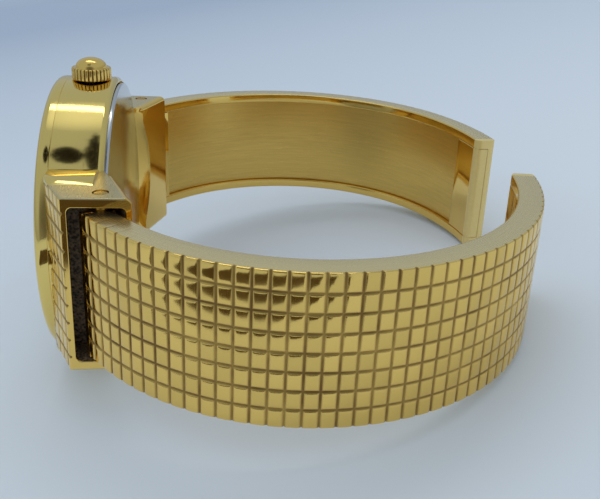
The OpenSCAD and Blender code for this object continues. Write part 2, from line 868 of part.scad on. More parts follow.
module stator() {
  z0 = coil_z + 0.3;
  z1 = z0 + 0.3;
  reach = coil_len / 2 + 0.65;
  elbow_rise = 1.4;
  color(steel) in_head() difference() {
    union() {
      for (side = [-1, 1]) {
        foot = [coil_x + side * reach, coil_y];
        elbow = foot + [0, elbow_rise];
        pillar(foot, 0.6, z0, z1);
        bar(foot, elbow, 1, z0, z1);
        pillar(elbow, 0.5, z0, z1);
        bar(elbow, rotor_pos, 1, z0, z1);
      }
      pillar(rotor_pos, 1.4, z0, z1);
    }
    pillar(rotor_pos, 0.95, z0 - cut, z1 + cut);
    for (side = [-1, 1])
      pillar([coil_x + side * reach, coil_y], 0.2, z0 - cut, z1 + cut);
  }
}

// A wheel and a pinion on one arbor between the bridge and the mainplate
module train_arbor(r) {
  disc(r, bridge_z + bridge_t + run_gap, mainplate_z - run_gap);
  disc(pivot_r, bridge_z + 0.05, mainplate_z + mainplate_t - 0.1);
}

module rotor() {
  pitch_r = rotor_gap * teeth_rotor / (teeth_rotor + teeth_fifth);
  color(steel) in_head() translate(rotor_pos) {
    disc(0.8, coil_z + 0.28, coil_z + 0.7);
    toothed(teeth_rotor, pitch_r, 1.7, 1.96, rotor_turn - 180, false);
    disc(0.16, 1.65, coil_z + 0.3);
    disc(pivot_r, bridge_z + 0.05, mainplate_z + mainplate_t - 0.1);
  }
}

module intermediate_wheel() {
  wheel_r = rotor_gap * teeth_fifth / (teeth_rotor + teeth_fifth);
  pinion_r = fifth_gap * teeth_fifth_pinion / (teeth_fifth_pinion + teeth_fourth);
  color(brass) in_head() translate(fifth_pos) {
    toothed(teeth_fifth, wheel_r, 1.78, 1.78 + wheel_t, rotor_turn, true);
    toothed(teeth_fifth_pinion, pinion_r, 1.44, 1.8, 75, false);
    train_arbor(0.25);
  }
}

module fourth_wheel() {
  wheel_r = fifth_gap * teeth_fourth / (teeth_fifth_pinion + teeth_fourth);
  pinion_r = train_gap * teeth_fourth_pinion / (teeth_fourth_pinion + teeth_third);
  color(brass) in_head() {
    toothed(teeth_fourth, wheel_r, 1.5, 1.5 + wheel_t, 255, true);
    toothed(teeth_fourth_pinion, pinion_r, 1.5, 2.05, third_turn, false);
    disc(second_arbor_r, bridge_z + 0.05, second_hand_z + hand_t + 0.05);
  }
}

module third_wheel() {
  wheel_r = train_gap * teeth_third / (teeth_fourth_pinion + teeth_third);
  pinion_r = train_gap * teeth_third_pinion / (teeth_third_pinion + teeth_centre);
  color(brass) in_head() translate(third_pos) {
    toothed(teeth_third, wheel_r, 1.8, 1.8 + wheel_t, third_turn + 180, true);
    toothed(teeth_third_pinion, pinion_r, 1.9, 2.45, third_turn + 180, false);
    train_arbor(0.2);
  }
}

module centre_wheel() {
  wheel_r = train_gap * teeth_centre / (teeth_third_pinion + teeth_centre);
  pinion_r = motion_gap * teeth_cannon / (teeth_cannon + teeth_minute);
  top = mainplate_z + mainplate_t;
  color(brass) in_head() difference() {
    union() {
      toothed(teeth_centre, wheel_r, 2.2, 2.2 + wheel_t, third_turn, true);
      disc(cannon_r, 2.15, minute_hand_z + hand_t);
      toothed(teeth_cannon, pinion_r, top + 0.04, dial_z - 0.1, minute_turn, false);
    }
    disc(cannon_hole, 2, second_hand_z);
  }
}

module minute_wheel() {
  wheel_r = motion_gap * teeth_minute / (teeth_cannon + teeth_minute);
  pinion_r = motion_gap * teeth_minute_pinion / (teeth_minute_pinion + teeth_hour);
  top = mainplate_z + mainplate_t;
  color(brass) in_head() translate(minute_pos) {
    toothed(teeth_minute, wheel_r, top + 0.05, top + 0.17, minute_turn + 180, true);
    toothed(teeth_minute_pinion, pinion_r, top + 0.05, dial_z - 0.06, minute_turn + 180, false);
    disc(0.2 - run_gap, top - 0.22, top + 0.1);
  }
}

module hour_wheel() {
  wheel_r = motion_gap * teeth_hour / (teeth_minute_pinion + teeth_hour);
  top = mainplate_z + mainplate_t;
  color(brass) in_head() difference() {
    union() {
      toothed(teeth_hour, wheel_r, top + 0.25, top + 0.39, minute_turn, true);
      disc(hour_tube_d / 2, top + 0.25, hour_hand_z + hand_t);
    }
    disc(cannon_r + 0.06, top, hour_hand_z + 1);
  }
}

module circuit_board() {
  board_from = -46;
  board_turn = 34;
  color(green) in_head()
    rotate([0, 0, board_from])
      rotate_extrude(angle = board_turn)
        rect(4.6, plate_d / 2 - 0.2, mainplate_z - board_t, mainplate_z);
}

module quartz_can() {
  can_r = 0.55;
  can_pos = polar(7.36, -47);
  color(steel) in_head()
    translate([can_pos[0], can_pos[1], mainplate_z - board_t - can_r])
      rotate([0, 0, 38])
        rotate([0, 90, 0])
          cylinder(r = can_r, h = 3.6);
}

// Arms, drawn for the near side

// The channel: a patterned outer plate with a smooth rim along each edge
module shell_section() {
  half_t = arm_t / 2;
  half_w = arm_w / 2;
  row = arm_w / rows;
  notches = [for (j = [1:rows - 1], k = [-1:1])
    [half_t - (k == 0 ? row_depth : 0), -half_w + j * row + k * groove_w / 2]];
  polygon(concat(
    [[-half_t, -half_w], [half_t, -half_w]], notches,
    [[half_t, half_w], [-half_t, half_w], [-half_t, half_w - arm_rim],
     [half_t - plate_t, half_w - arm_rim], [half_t - plate_t, -half_w + arm_rim],
     [-half_t, -half_w + arm_rim]]
  ));
}

module arm_shell_shape() {
  squares = floor((arm_len - groove_from) / square_pitch);
  difference() {
    along_arm(knuckle_len, arm_len) shell_section();
    for (i = [0:squares])
      at_arm(groove_from + i * square_pitch)
        translate([arm_t / 2, 0, -arm_w / 2 - cut])
          linear_extrude(arm_w + 2 * cut)
            mirror([1, 0]) groove_outline();
    translate([-pin_x, -pin_y, 0]) disc(knuckle_d / 2 + seat_gap, -arm_w, arm_w);
  }
}

module arm_liner_shape() {
  half = arm_w / 2 - arm_rim - seat_gap;
  along_arm(hinge_len + seat_gap, arm_len - tip_len - seat_gap)
    rect(-arm_t / 2 + liner_recess, -arm_t / 2 + liner_recess + liner_t, -half, half);
}

module hinge_block_shape() {
  half = arm_w / 2 - arm_rim - seat_gap;
  difference() {
    union() {
      translate([-pin_x, -pin_y, 0]) disc(knuckle_d / 2, -arm_w / 2, arm_w / 2);
      along_arm(0, knuckle_len - seat_gap) rect(-arm_t / 2, arm_t / 2, -arm_w / 2, arm_w / 2);
      along_arm(0, hinge_len) rect(-arm_t / 2, arm_t / 2 - plate_t - seat_gap, -half, half);
    }
    translate([-pin_x, -pin_y, 0]) {
      disc(pin_d / 2 + run_gap, -arm_w, arm_w);
      disc(knuckle_d / 2 + 0.05, -spring_room / 2, spring_room / 2);
    }
  }
}

module tip_block_shape() {
  half = arm_w / 2 - arm_rim - seat_gap;
  along_arm(arm_len - tip_len, arm_len)
    rect(-arm_t / 2, arm_t / 2 - plate_t - seat_gap, -half, half);
}

module hinge_pin_shape() {
  translate([-pin_x, -pin_y, 0]) disc(pin_d / 2, -lug_top + 0.05, lug_top - 0.05);
}

// A coil of wire around the pin, swept ring by ring
module hinge_spring_shape() {
  sides = 6;
  steps = 8 * spring_turns;
  wire_r = spring_wire / 2;
  tilt = atan(spring_len / spring_turns / (2 * PI * spring_r));
  points = [for (i = [0:steps], j = [0:sides - 1])
    let (a = 360 * i / 8, b = 360 * j / sides, z = spring_len * (i / steps - 0.5),
         out = wire_r * cos(b), up = wire_r * sin(b))
    concat(polar(spring_r + out, a) - up * sin(tilt) * left_of(a), z + up * cos(tilt))];
  sweep = [for (i = [0:steps - 1], j = [0:sides - 1])
    let (k = (j + 1) % sides, p = i * sides, q = p + sides)
    each [[p + j, p + k, q + k], [p + j, q + k, q + j]]];
  caps = [[for (j = [0:sides - 1]) sides - 1 - j], [for (j = [0:sides - 1]) steps * sides + j]];
  translate([-pin_x, -pin_y, 0]) polyhedron(points, concat(sweep, caps));
}

module near_arm_shell() {
  color(gold) on_side(false) arm_shell_shape();
}

module near_arm_liner() {
  color(satin_gold) on_side(false) arm_liner_shape();
}

module near_hinge_block() {
  color(gold) on_side(false) hinge_block_shape();
}

module near_tip_block() {
  color(gold) on_side(false) tip_block_shape();
}

module near_hinge_pin() {
  color(steel) on_side(false) hinge_pin_shape();
}

module near_hinge_spring() {
  color(steel) on_side(false) hinge_spring_shape();
}

module far_arm_shell() {
  color(gold) on_side(true) arm_shell_shape();
}

module far_arm_liner() {
  color(satin_gold) on_side(true) arm_liner_shape();
}

module far_hinge_block() {
  color(gold) on_side(true) hinge_block_shape();
}

module far_tip_block() {
  color(gold) on_side(true) tip_block_shape();
}

module far_hinge_pin() {
  color(steel) on_side(true) hinge_pin_shape();
}

module far_hinge_spring() {
  color(steel) on_side(true) hinge_spring_shape();
}

case_body();
bezel();
crystal();
crystal_gasket();
dial();
dial_ring();
hour_markers();
hour_hand();
minute_hand();
second_hand();
case_back();
case_back_gasket();
movement_holder();
mainplate();
train_bridge();
bridge_screws();
button_cell();
cell_clip();
coil();
coil_core();
stator();
rotor();
intermediate_wheel();
fourth_wheel();
third_wheel();
centre_wheel();
minute_wheel();
hour_wheel();
circuit_board();
quartz_can();
crown();
stem();
crown_gasket();
crown_tube();
setting_lever();
near_arm_shell();
near_arm_liner();
near_hinge_block();
near_tip_block();
near_hinge_pin();
near_hinge_spring();
far_arm_shell();
far_arm_liner();
far_hinge_block();
far_tip_block();
far_hinge_pin();
far_hinge_spring();
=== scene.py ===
"""Dresses the cuff watch: its detailed pieces, finishes, stage and camera."""
import json
import math

import bmesh
import bpy
import numpy as np
from mathutils import Matrix, Vector


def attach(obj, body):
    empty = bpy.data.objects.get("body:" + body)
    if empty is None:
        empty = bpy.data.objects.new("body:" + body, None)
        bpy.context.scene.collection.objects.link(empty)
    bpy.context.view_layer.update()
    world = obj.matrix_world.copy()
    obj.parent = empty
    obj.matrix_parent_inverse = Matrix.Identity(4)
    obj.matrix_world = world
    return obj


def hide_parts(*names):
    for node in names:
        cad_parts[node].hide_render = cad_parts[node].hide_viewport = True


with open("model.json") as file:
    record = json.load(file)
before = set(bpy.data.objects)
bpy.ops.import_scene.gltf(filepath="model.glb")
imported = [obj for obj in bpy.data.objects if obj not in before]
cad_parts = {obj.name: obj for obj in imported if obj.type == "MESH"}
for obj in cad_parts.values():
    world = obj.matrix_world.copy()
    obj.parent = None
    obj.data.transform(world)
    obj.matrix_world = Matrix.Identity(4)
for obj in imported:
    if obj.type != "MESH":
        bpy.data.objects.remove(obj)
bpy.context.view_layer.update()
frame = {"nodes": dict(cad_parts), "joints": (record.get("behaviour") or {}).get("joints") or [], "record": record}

bl_info = {
    "name": "Cuff Watch",
    "version": (1, 0, 0),
    "blender": (4, 5, 0),
    "location": "3D View > Sidebar > Cuff Watch",
    "description": "Builds the pieces, finishes and stage of a cuff watch",
    "category": "Object",
}

MM = 0.001
MICRON = 0.000001

# The level frame of the watch: OUT from the dial to the open end, SIDE to the far arm, UP the pins
JOINTS = {joint["name"]: joint for joint in frame["joints"]}
PIN_X = 12.5
PIN_Y = 17.2
UP = Vector(JOINTS["crown_pull"]["axis"]).normalized()
SIDE = Vector((0, 1, 0))
OUT = SIDE.cross(UP)
PIN_MIDDLE = (Vector(JOINTS["near_arm_hinge"]["pos_m"]) + Vector(JOINTS["far_arm_hinge"]["pos_m"])) / 2
ORIGIN = PIN_MIDDLE + PIN_X * MM * OUT
AXES = np.array([OUT, SIDE, UP])

# Sizes that the pieces share with the solids, in millimetres
SEAT_GAP = 0.02
CASE_X = 12.7
CASE_R = 14.5
BORE_R = 12.6
RIM_Z = 0.35
SEAT_H = 0.75
BEZEL_Z = 5.2
FRONT_Z = 6.5
BEZEL_IN_R = 12.5
LEDGE_W = 0.5
LEDGE_H = 0.25
LIP_H = 0.5
LIP_T = 0.35
BACK_R = 13.85
DIAL_BASE = 3.6
DIAL_TOP = 4.0
DIAL_R = 12.3
ARM_W = 14.0
ARM_T = 2.6
PLATE_T = 1.0
RIM_W = 1.1
LINER_RECESS = 0.5
LINER_T = 0.5
PIN_R = 0.65
PIN_INSET = 0.72
ARM_ANGLE = 58.0
BENDS = (28.0, 22.4, 30.0)
TURNS = (13.3, 90 + math.degrees(math.asin(7 / 25)), 22.6)
KNUCKLE_LEN = 0.6
KNUCKLE_R = 1.3
HINGE_LEN = 4.5
TIP_LEN = 5.0
ROWS = 8
ROW_PITCH = ARM_W / ROWS
SQUARE_PITCH = 1.35
GROOVE_FROM = 1.5
GROOVE_MARGIN = 0.7
LUG_TOP = 8.4
LUG_Y = 18.75
LUG_DIAL_X = 15.7
LUG_WRIST_X = 9.7
LUG_ROOT = (17.8, 14.3)
LUG_HEEL = (11.9, 12.8)
LUG_TOE_Y = 12.2
LUG_IN_Y = 11.6
LUG_WALL = 0.52
LUG_WRIST_WALL = 0.5
LUG_ROUND = 0.6
LUG_CLEAR_R = 14.35
MOUTH_H = 15.0
CAVITY_Y = 15.4
CROWN_BASE = 14.6
CROWN_R = 1.95
FLUTES = 30
FLUTE_H = 1.15
DOME_R = 1.55
DOME_H = 1.0
STEM_Z = 2.85

# The lug's dial side: its length to the root, its slope there, and its length to the inner end
LUG_RUN = math.hypot(LUG_ROOT[0] - LUG_DIAL_X, LUG_Y - LUG_ROOT[1])
LUG_SLOPE = (LUG_Y - LUG_ROOT[1]) / LUG_RUN
LUG_LENGTH = LUG_RUN + LUG_ROOT[1] - LUG_IN_Y

# Finer form that the solids don't have: millimetres, degrees and numbers of points
TIP_ROUND = 0.8
TIP_ANGLES = (0, 15, 30, 45, 58, 70, 80, 90)
FLAT_RING = 0.03
HAIR = 0.01
CHANNEL_END_ROUND = 0.1
CHANNEL_ROUNDS = {"outer": 0.18, "back": 0.15, "inner": 0.14}
CORNER_POINTS = 5
KNUCKLE_GAP = 0.03
KNUCKLE_FADE = 1.45
BAR_STEP = 0.7
LUG_EDGE = 0.14
LUG_END_ROUND = 0.1
LUG_FADE = 0.35
EDGE_POINTS = 4
ROUND_POINTS = 9
WRIST_POINTS = 15
MOUTH_ROUND = 0.5
MOUTH_ANGLES = (0, 22.5, 45, 67.5, 90)
PIN_HOLE_R = PIN_R + 0.06
BEZEL_ROUND = 0.7
AXIS_R = 0.001

# A point this far below an arm's outer face still belongs to it, or still feels the grooves across
FACE_REACH = 0.02
FLANK_REACH = 0.25

# How deep in a lug's mouth each ring of its rounded edge lies, and how much wider than the mouth it is
MOUTH_EDGE = ((0.0, 0.11), (0.0, 0.08), (0.03, 0.03), (0.08, 0.0))

# How far a groove's flank still cuts at these distances from its middle, as a share of its depth
GROOVE_SHAPE = ((0.0, 1.0), (0.08, 0.58), (0.15, 0.22), (0.22, 0.06), (0.31, 0.0))

# Grooves along the arm are shallower than those across it, and these fade on a lug's soft edge
ROW_DEPTH = 0.9
EDGE_DEPTH = 0.6

# Lines of points closer than this are one, and a rounded corner turns by about this at each step
MERGE = 0.015
STEP_TURN = 0.26

# An edge that turns by more than this stays sharp on a piece, and gets a soft edge on a solid
SHARP_ANGLE = math.radians(34)
SOFTEN_ANGLE = math.radians(35)

# Marks of the dial's printed track: how many, inner radius, outer radius and half width
TRACK_MARKS = ((60, 11.15, 11.65, 0.035), (12, 11.05, 11.65, 0.075))

# Seeds of the squares' shades and tilts, how many squares are drawn, and how far their edges tilt
SEEDS = {"near_arm_channel": 7, "far_arm_channel": 57, "near_lug": 87, "far_lug": 97}
ARM_DRAWS = 80
LUG_DRAWS = (8, 12)
TILT = 0.009

# Widths in millimetres of the soft edges on the solids that still show
SOFTENED = {
    "hour_hand": 0.04, "minute_hand": 0.04, "second_hand": 0.03, "hour_markers": 0.05,
    "near_hinge_block": 0.08, "far_hinge_block": 0.08, "crystal": 0.06,
}

# The far floor and the sky seen behind it, which come out alike
HORIZON_PAPER = (0.62, 0.655, 0.70)
HORIZON_SKY = (0.47, 0.56, 0.66)

# Places in a channel's and a lug's list of finishes; the fourth is the channel's end or the lug's pocket
PATTERNED, SATIN, POLISHED = 0, 1, 2
END = GRIMY = 3

MATERIALS = {}


class CuffWatchSizes(bpy.types.PropertyGroup):
    """Sizes of the fine detail."""

    groove_depth: bpy.props.FloatProperty(
        name="Groove depth",
        description="Depth of the grooves between the squares",
        default=0.00014,
        min=0.0,
        max=0.0002,
        precision=5,
        subtype="DISTANCE",
        unit="LENGTH",
    )
    pillow: bpy.props.FloatProperty(
        name="Square crown",
        description="How much the middle of a square stands above its edges",
        default=0.000045,
        min=0.0,
        max=0.00006,
        precision=5,
        subtype="DISTANCE",
        unit="LENGTH",
    )
    flute_depth: bpy.props.FloatProperty(
        name="Flute depth",
        description="Depth of the crown's flutes",
        default=0.00014,
        min=0.00005,
        max=0.0002,
        precision=5,
        subtype="DISTANCE",
        unit="LENGTH",
    )


class CuffWatchColours(bpy.types.PropertyGroup):
    """Colours of the finishes, as linear light."""

    gold: bpy.props.FloatVectorProperty(
        name="Gold",
        description="Colour of the gold plating",
        default=(0.95, 0.64, 0.175),
        min=0.0,
        max=1.0,
        size=3,
        subtype="COLOR",
    )
    patina: bpy.props.FloatVectorProperty(
        name="Patina",
        description="Colour at the bottom of the grooves",
        default=(0.27, 0.15, 0.045),
        min=0.0,
        max=1.0,
        size=3,
        subtype="COLOR",
    )
    steel: bpy.props.FloatVectorProperty(
        name="Steel",
        description="Colour of the bare steel",
        default=(0.62, 0.62, 0.61),
        min=0.0,
        max=1.0,
        size=3,
        subtype="COLOR",
    )
    dial: bpy.props.FloatVectorProperty(
        name="Dial",
        description="Colour of the dial",
        default=(0.88, 0.84, 0.74),
        min=0.0,
        max=1.0,
        size=3,
        subtype="COLOR",
    )
    floor: bpy.props.FloatVectorProperty(
        name="Floor",
        description="Colour of the floor",
        default=(0.69, 0.72, 0.745),
        min=0.0,
        max=1.0,
        size=3,
        subtype="COLOR",
    )


def sizes():
    return bpy.context.scene.cuff_watch_sizes


def colours():
    return bpy.context.scene.cuff_watch_colours


# Places


def placed(points):
    """Level points in millimetres, as points of the scene in metres."""
    return np.asarray(ORIGIN) + np.asarray(points, float) @ AXES * MM


def direction(vector):
    """A level direction as a direction of the scene."""
    return Vector(np.asarray(vector, float) @ AXES)


def head_level(u, v, w):
    """Head coordinates (towards the crown, towards 12, towards the crystal) as level ones."""
    u, v, w = np.broadcast_arrays(u, v, w)
    return np.stack([-CASE_X - w, v, u], axis=-1)


def crown_level(a, b, height):
    """Coordinates about the crown's axis, with the height above the watch's middle, as level ones."""
    return np.stack([-CASE_X - STEM_Z + a, b, height], axis=-1)


def upright(a, b, height):
    """Coordinates about an upright axis."""
    return np.stack([a, b, height], axis=-1)


# Nodes


def node(tree, kind, **settings):
    """A new node with its settings and the values of its inputs by name."""
    made = tree.nodes.new(kind)
    for name, value in settings.items():
        if hasattr(made, name):
            setattr(made, name, value)
        else:
            made.inputs[name].default_value = value
    return made


def noise(tree, vector, **settings):
    """Soft noise at a vector."""
    made = node(tree, "ShaderNodeTexNoise", **settings)
    tree.links.new(vector, made.inputs["Vector"])
    return made.outputs["Fac"]


def mapped(tree, vector, **settings):
    """A vector that is turned, stretched or moved."""
    made = node(tree, "ShaderNodeMapping", **settings)
    tree.links.new(vector, made.inputs["Vector"])
    return made.outputs[0]


def split_axes(tree, vector):
    """The X, Y and Z of a vector."""
    made = node(tree, "ShaderNodeSeparateXYZ")
    tree.links.new(vector, made.inputs[0])
    return tuple(made.outputs)


def math_node(tree, operation, first, second=None, clamp=False):
    """A sum, product or other function of sockets and numbers."""
    made = node(tree, "ShaderNodeMath", operation=operation, use_clamp=clamp)
    for socket, value in zip(made.inputs, (first, second)):
        if isinstance(value, (int, float)):
            socket.default_value = value
        elif value is not None:
            tree.links.new(value, socket)
    return made.outputs[0]


def mix_colour(tree, share, first, second):
    """A colour between two others, which are sockets or linear RGB."""
    made = node(tree, "ShaderNodeMix", data_type="RGBA")
    tree.links.new(share, made.inputs["Factor"])
    for socket, value in zip((made.inputs[6], made.inputs[7]), (first, second)):
        if isinstance(value, bpy.types.NodeSocket):
            tree.links.new(value, socket)
        else:
            socket.default_value = (*value, 1)
    return made.outputs[2]


def map_range(tree, value, from_min, from_max, to_min, to_max):
    """A value carried from one range to another, and held at its ends."""
    made = node(tree, "ShaderNodeMapRange")
    limits = {"From Min": from_min, "From Max": from_max, "To Min": to_min, "To Max": to_max}
    for label, limit in limits.items():
        made.inputs[label].default_value = limit
    tree.links.new(value, made.inputs["Value"])
    return made.outputs["Result"]


def bump(tree, height, microns, strength, normal=None):
    """A normal that a height of so many microns disturbs."""
    made = node(tree, "ShaderNodeBump", Strength=strength, Distance=microns * MICRON)
    tree.links.new(height, made.inputs["Height"])
    if normal is not None:
        tree.links.new(normal, made.inputs["Normal"])
    return made.outputs["Normal"]


def read_attribute(tree, name, output="Fac"):
    """A value that the mesh carries at its points."""
    return node(tree, "ShaderNodeAttribute", attribute_name=name).outputs[output]


# Effects that several finishes share


def effect(name, inputs, outputs):
    """An empty node group with a vector and these inputs (name, default), and these outputs."""
    tree = bpy.data.node_groups.new(name, "ShaderNodeTree")
    tree.interface.new_socket("Vector", in_out="INPUT", socket_type="NodeSocketVector")
    for label, default in inputs:
        socket = tree.interface.new_socket(label, in_out="INPUT", socket_type="NodeSocketFloat")
        socket.default_value = default
    for label in outputs:
        tree.interface.new_socket(label, in_out="OUTPUT", socket_type="NodeSocketFloat")
    return tree, tree.nodes.new("NodeGroupInput"), tree.nodes.new("NodeGroupOutput")


def hairlines_effect():
    """Fine handling scratches in two directions, and soft smears."""
    tree, given, put = effect("hairlines", [("Length", 1.0)], ["Scratches", "Smears"])
    place = given.outputs["Vector"]
    lines = []
    for turn, shift in ((0.5, 0.0), (-0.9, 4.0)):
        drawn = mapped(
            tree, place, Rotation=(turn, turn * 0.6, turn), Scale=(3200, 130, 3200), Location=(shift,) * 3
        )
        marks = noise(tree, drawn, Scale=1.0, Detail=1.0, Distortion=0.4)
        lines.append(map_range(tree, marks, 0.62, 0.78, 0.0, 1.0))
    both = math_node(tree, "MAXIMUM", lines[0], lines[1])
    kept = math_node(tree, "MULTIPLY", both, given.outputs["Length"])
    tree.links.new(kept, put.inputs["Scratches"])
    tree.links.new(noise(tree, place, Scale=210.0, Detail=3.0, Roughness=0.6), put.inputs["Smears"])


def plating_effect():
    """Slow drift of a plated colour, and the waviness that hand polishing leaves."""
    tree, given, put = effect("plating", [], ["Drift", "Wave"])
    for label, scale, detail in (("Drift", 90.0, 2.0), ("Wave", 260.0, 1.0)):
        tree.links.new(noise(tree, given.outputs["Vector"], Scale=scale, Detail=detail), put.inputs[label])


def grain_effect():
    """Brushed lines along X of the vector that is given, in millimetres."""
    tree, given, put = effect("brushed_grain", [("Fineness", 1.0)], ["Lines", "Streaks"])
    finer = node(tree, "ShaderNodeVectorMath", operation="SCALE")
    tree.links.new(given.outputs["Vector"], finer.inputs[0])
    tree.links.new(given.outputs["Fineness"], finer.inputs["Scale"])
    for label, scale, detail in (("Lines", (0.35, 14.0, 14.0), 3.0), ("Streaks", (0.12, 2.6, 2.6), 2.0)):
        stretched = mapped(tree, finer.outputs[0], Scale=scale)
        tree.links.new(noise(tree, stretched, Scale=1.0, Detail=detail, Roughness=0.65), put.inputs[label])


def placed_effect(tree, name, vector, **values):
    """The outputs of the node group of that name, placed in a material."""
    made = tree.nodes.new("ShaderNodeGroup")
    made.node_tree = bpy.data.node_groups[name]
    for label, value in values.items():
        made.inputs[label].default_value = value
    tree.links.new(vector, made.inputs["Vector"])
    return made.outputs


# Finishes


def times(colour, factor):
    """A colour made lighter or darker."""
    return [min(1, c * factor) for c in colour]


def blank_material(name):
    """A new finish, its tree, its shader and the place on the object in metres."""
    material = bpy.data.materials.new(name)
    material.use_nodes = True
    tree = material.node_tree
    place = tree.nodes.new("ShaderNodeTexCoord").outputs["Object"]
    return material, tree, tree.nodes["Principled BSDF"], place


def feed(tree, shader, colour, rough, normal, **constants):
    """Links a shader's colour, roughness and normal, and sets what is the same all over."""
    for value, label in ((colour, "Base Color"), (rough, "Roughness"), (normal, "Normal")):
        tree.links.new(value, shader.inputs[label])
    for label, value in constants.items():
        shader.inputs[label.replace("_", " ")].default_value = value


def metal(name, colour, rough, wave=1.0, scratches=0.35):
    """A polished plated metal with drift, polishing waves and hairlines."""
    material, tree, shader, place = blank_material(name)
    plating = placed_effect(tree, "plating", place)
    lines = placed_effect(tree, "hairlines", place, Length=scratches)
    base = mix_colour(tree, plating["Drift"], times(colour, 0.88), colour)
    smears = map_range(tree, lines["Smears"], 0.35, 0.75, rough, rough * 1.7)
    worn = math_node(tree, "ADD", smears, math_node(tree, "MULTIPLY", lines["Scratches"], 0.1))
    normal = bump(tree, plating["Wave"], 12 * wave, 0.35)
    normal = bump(tree, lines["Scratches"], 2, 0.3, normal)
    feed(tree, shader, base, worn, normal, Metallic=1)
    return material


def patterned_material(name, colour, patina):
    """Polished squares: darker and duller towards the bottom of the grooves."""
    material, tree, shader, place = blank_material(name)
    groove = read_attribute(tree, "groove")
    plating = placed_effect(tree, "plating", place)
    lines = placed_effect(tree, "hairlines", place, Length=0.5)
    base = mix_colour(tree, read_attribute(tree, "tone"), times(colour, 0.86), colour)
    dirt = map_range(tree, groove, 0.04, 0.6, 0.0, 1.0)
    grime = math_node(tree, "MULTIPLY", lines["Smears"], 1.5, clamp=True)
    base = mix_colour(tree, math_node(tree, "MULTIPLY", dirt, grime, clamp=True), base, patina)
    smears = map_range(tree, lines["Smears"], 0.35, 0.75, 0.09, 0.17)
    rough = math_node(tree, "ADD", smears, math_node(tree, "MULTIPLY", dirt, 0.4))
    normal = bump(tree, plating["Wave"], 10, 0.4)
    normal = bump(tree, lines["Scratches"], 3, 0.35, normal)
    feed(tree, shader, base, rough, normal, Metallic=1)
    return material


def brushed_material(name, colour, rough, microns, fineness=1.0, drift=0.14, metallic=1.0):
    """Metal that is brushed along the arm."""
    material, tree, shader, place = blank_material(name)
    along = read_attribute(tree, "arm_at", "Vector")
    grain = placed_effect(tree, "brushed_grain", along, Fineness=fineness)
    plating = placed_effect(tree, "plating", place)
    base = mix_colour(tree, grain["Streaks"], times(colour, 1 - drift), colour)
    lit = map_range(tree, grain["Lines"], 0.3, 0.75, 0.0, 0.45)
    base = mix_colour(tree, lit, base, times(colour, 1.12))
    rough_out = map_range(tree, grain["Lines"], 0.3, 0.7, rough * 1.25, rough * 0.8)
    normal = bump(tree, plating["Wave"], 20, 0.25)
    normal = bump(tree, grain["Lines"], microns, 0.55, normal)
    feed(tree, shader, base, rough_out, normal, Metallic=metallic)
    return material


def dull_material(name, colour, rough, scale, microns, metallic=0.0, coat=0.0, drift=0.15):
    """Moulded, lacquered or wound stuff with a fine even grain."""
    material, tree, shader, place = blank_material(name)
    grain = noise(tree, place, Scale=scale, Detail=4.0)
    share = map_range(tree, grain, 0.35, 0.65, 0.0, 1.0)
    base = mix_colour(tree, share, times(colour, 1 - drift), colour)
    rough_out = map_range(tree, grain, 0.3, 0.7, rough * 0.9, rough * 1.1)
    normal = bump(tree, grain, microns, 0.4)
    feed(tree, shader, base, rough_out, normal, Metallic=metallic, Coat_Weight=coat)
    return material


def glass_material(name):
    """Clear mineral glass with faint wiping marks."""
    material, tree, shader, place = blank_material(name)
    shader.inputs["Base Color"].default_value = (0.97, 0.985, 0.98, 1)
    shader.inputs["Transmission Weight"].default_value = 1
    shader.inputs["IOR"].default_value = 1.5
    lines = placed_effect(tree, "hairlines", place, Length=0.15)
    rough = map_range(tree, lines["Smears"], 0.4, 0.8, 0.0, 0.03)
    tree.links.new(rough, shader.inputs["Roughness"])
    tree.links.new(bump(tree, lines["Scratches"], 1, 0.1), shader.inputs["Normal"])
    return material


def track_marks(tree, angle, radius, count, inner, outer, half):
    """A mask of the printed marks of one kind."""
    turn = math_node(tree, "MULTIPLY", angle, count / (2 * math.pi))
    off_mark = math_node(tree, "SUBTRACT", turn, math_node(tree, "ROUND", turn))
    beside = math_node(tree, "MULTIPLY", math_node(tree, "ABSOLUTE", off_mark), radius)
    arc = math_node(tree, "MULTIPLY", beside, 2 * math.pi / count)
    mark = math_node(tree, "LESS_THAN", arc, half)
    mark = math_node(tree, "MULTIPLY", mark, math_node(tree, "GREATER_THAN", radius, inner))
    return math_node(tree, "MULTIPLY", mark, math_node(tree, "LESS_THAN", radius, outer))


def dial_material(name, colour, ink):
    """Satin lacquer with a faint sunray and a printed minute track."""
    material, tree, shader, _ = blank_material(name)
    across, up, _ = split_axes(tree, read_attribute(tree, "face_at", "Vector"))
    angle = math_node(tree, "ARCTAN2", across, up)
    squares = [math_node(tree, "MULTIPLY", side, side) for side in (across, up)]
    radius = math_node(tree, "SQRT", math_node(tree, "ADD", *squares))
    rays = node(tree, "ShaderNodeCombineXYZ")
    for socket, value, stretch in zip(rays.inputs, (angle, radius), (34.0, 0.15)):
        tree.links.new(math_node(tree, "MULTIPLY", value, stretch), socket)
    sunray = noise(tree, rays.outputs[0], Scale=2.0, Detail=3.0)
    base = mix_colour(tree, sunray, times(colour, 0.9), colour)
    minutes, hours = [track_marks(tree, angle, radius, *marks) for marks in TRACK_MARKS]
    base = mix_colour(tree, math_node(tree, "MAXIMUM", minutes, hours), base, ink)
    rough = map_range(tree, sunray, 0.3, 0.7, 0.3, 0.42)
    normal = bump(tree, sunray, 10, 0.15)
    feed(tree, shader, base, rough, normal, Metallic=0.15, Coat_Weight=0.35, Coat_Roughness=0.1)
    return material


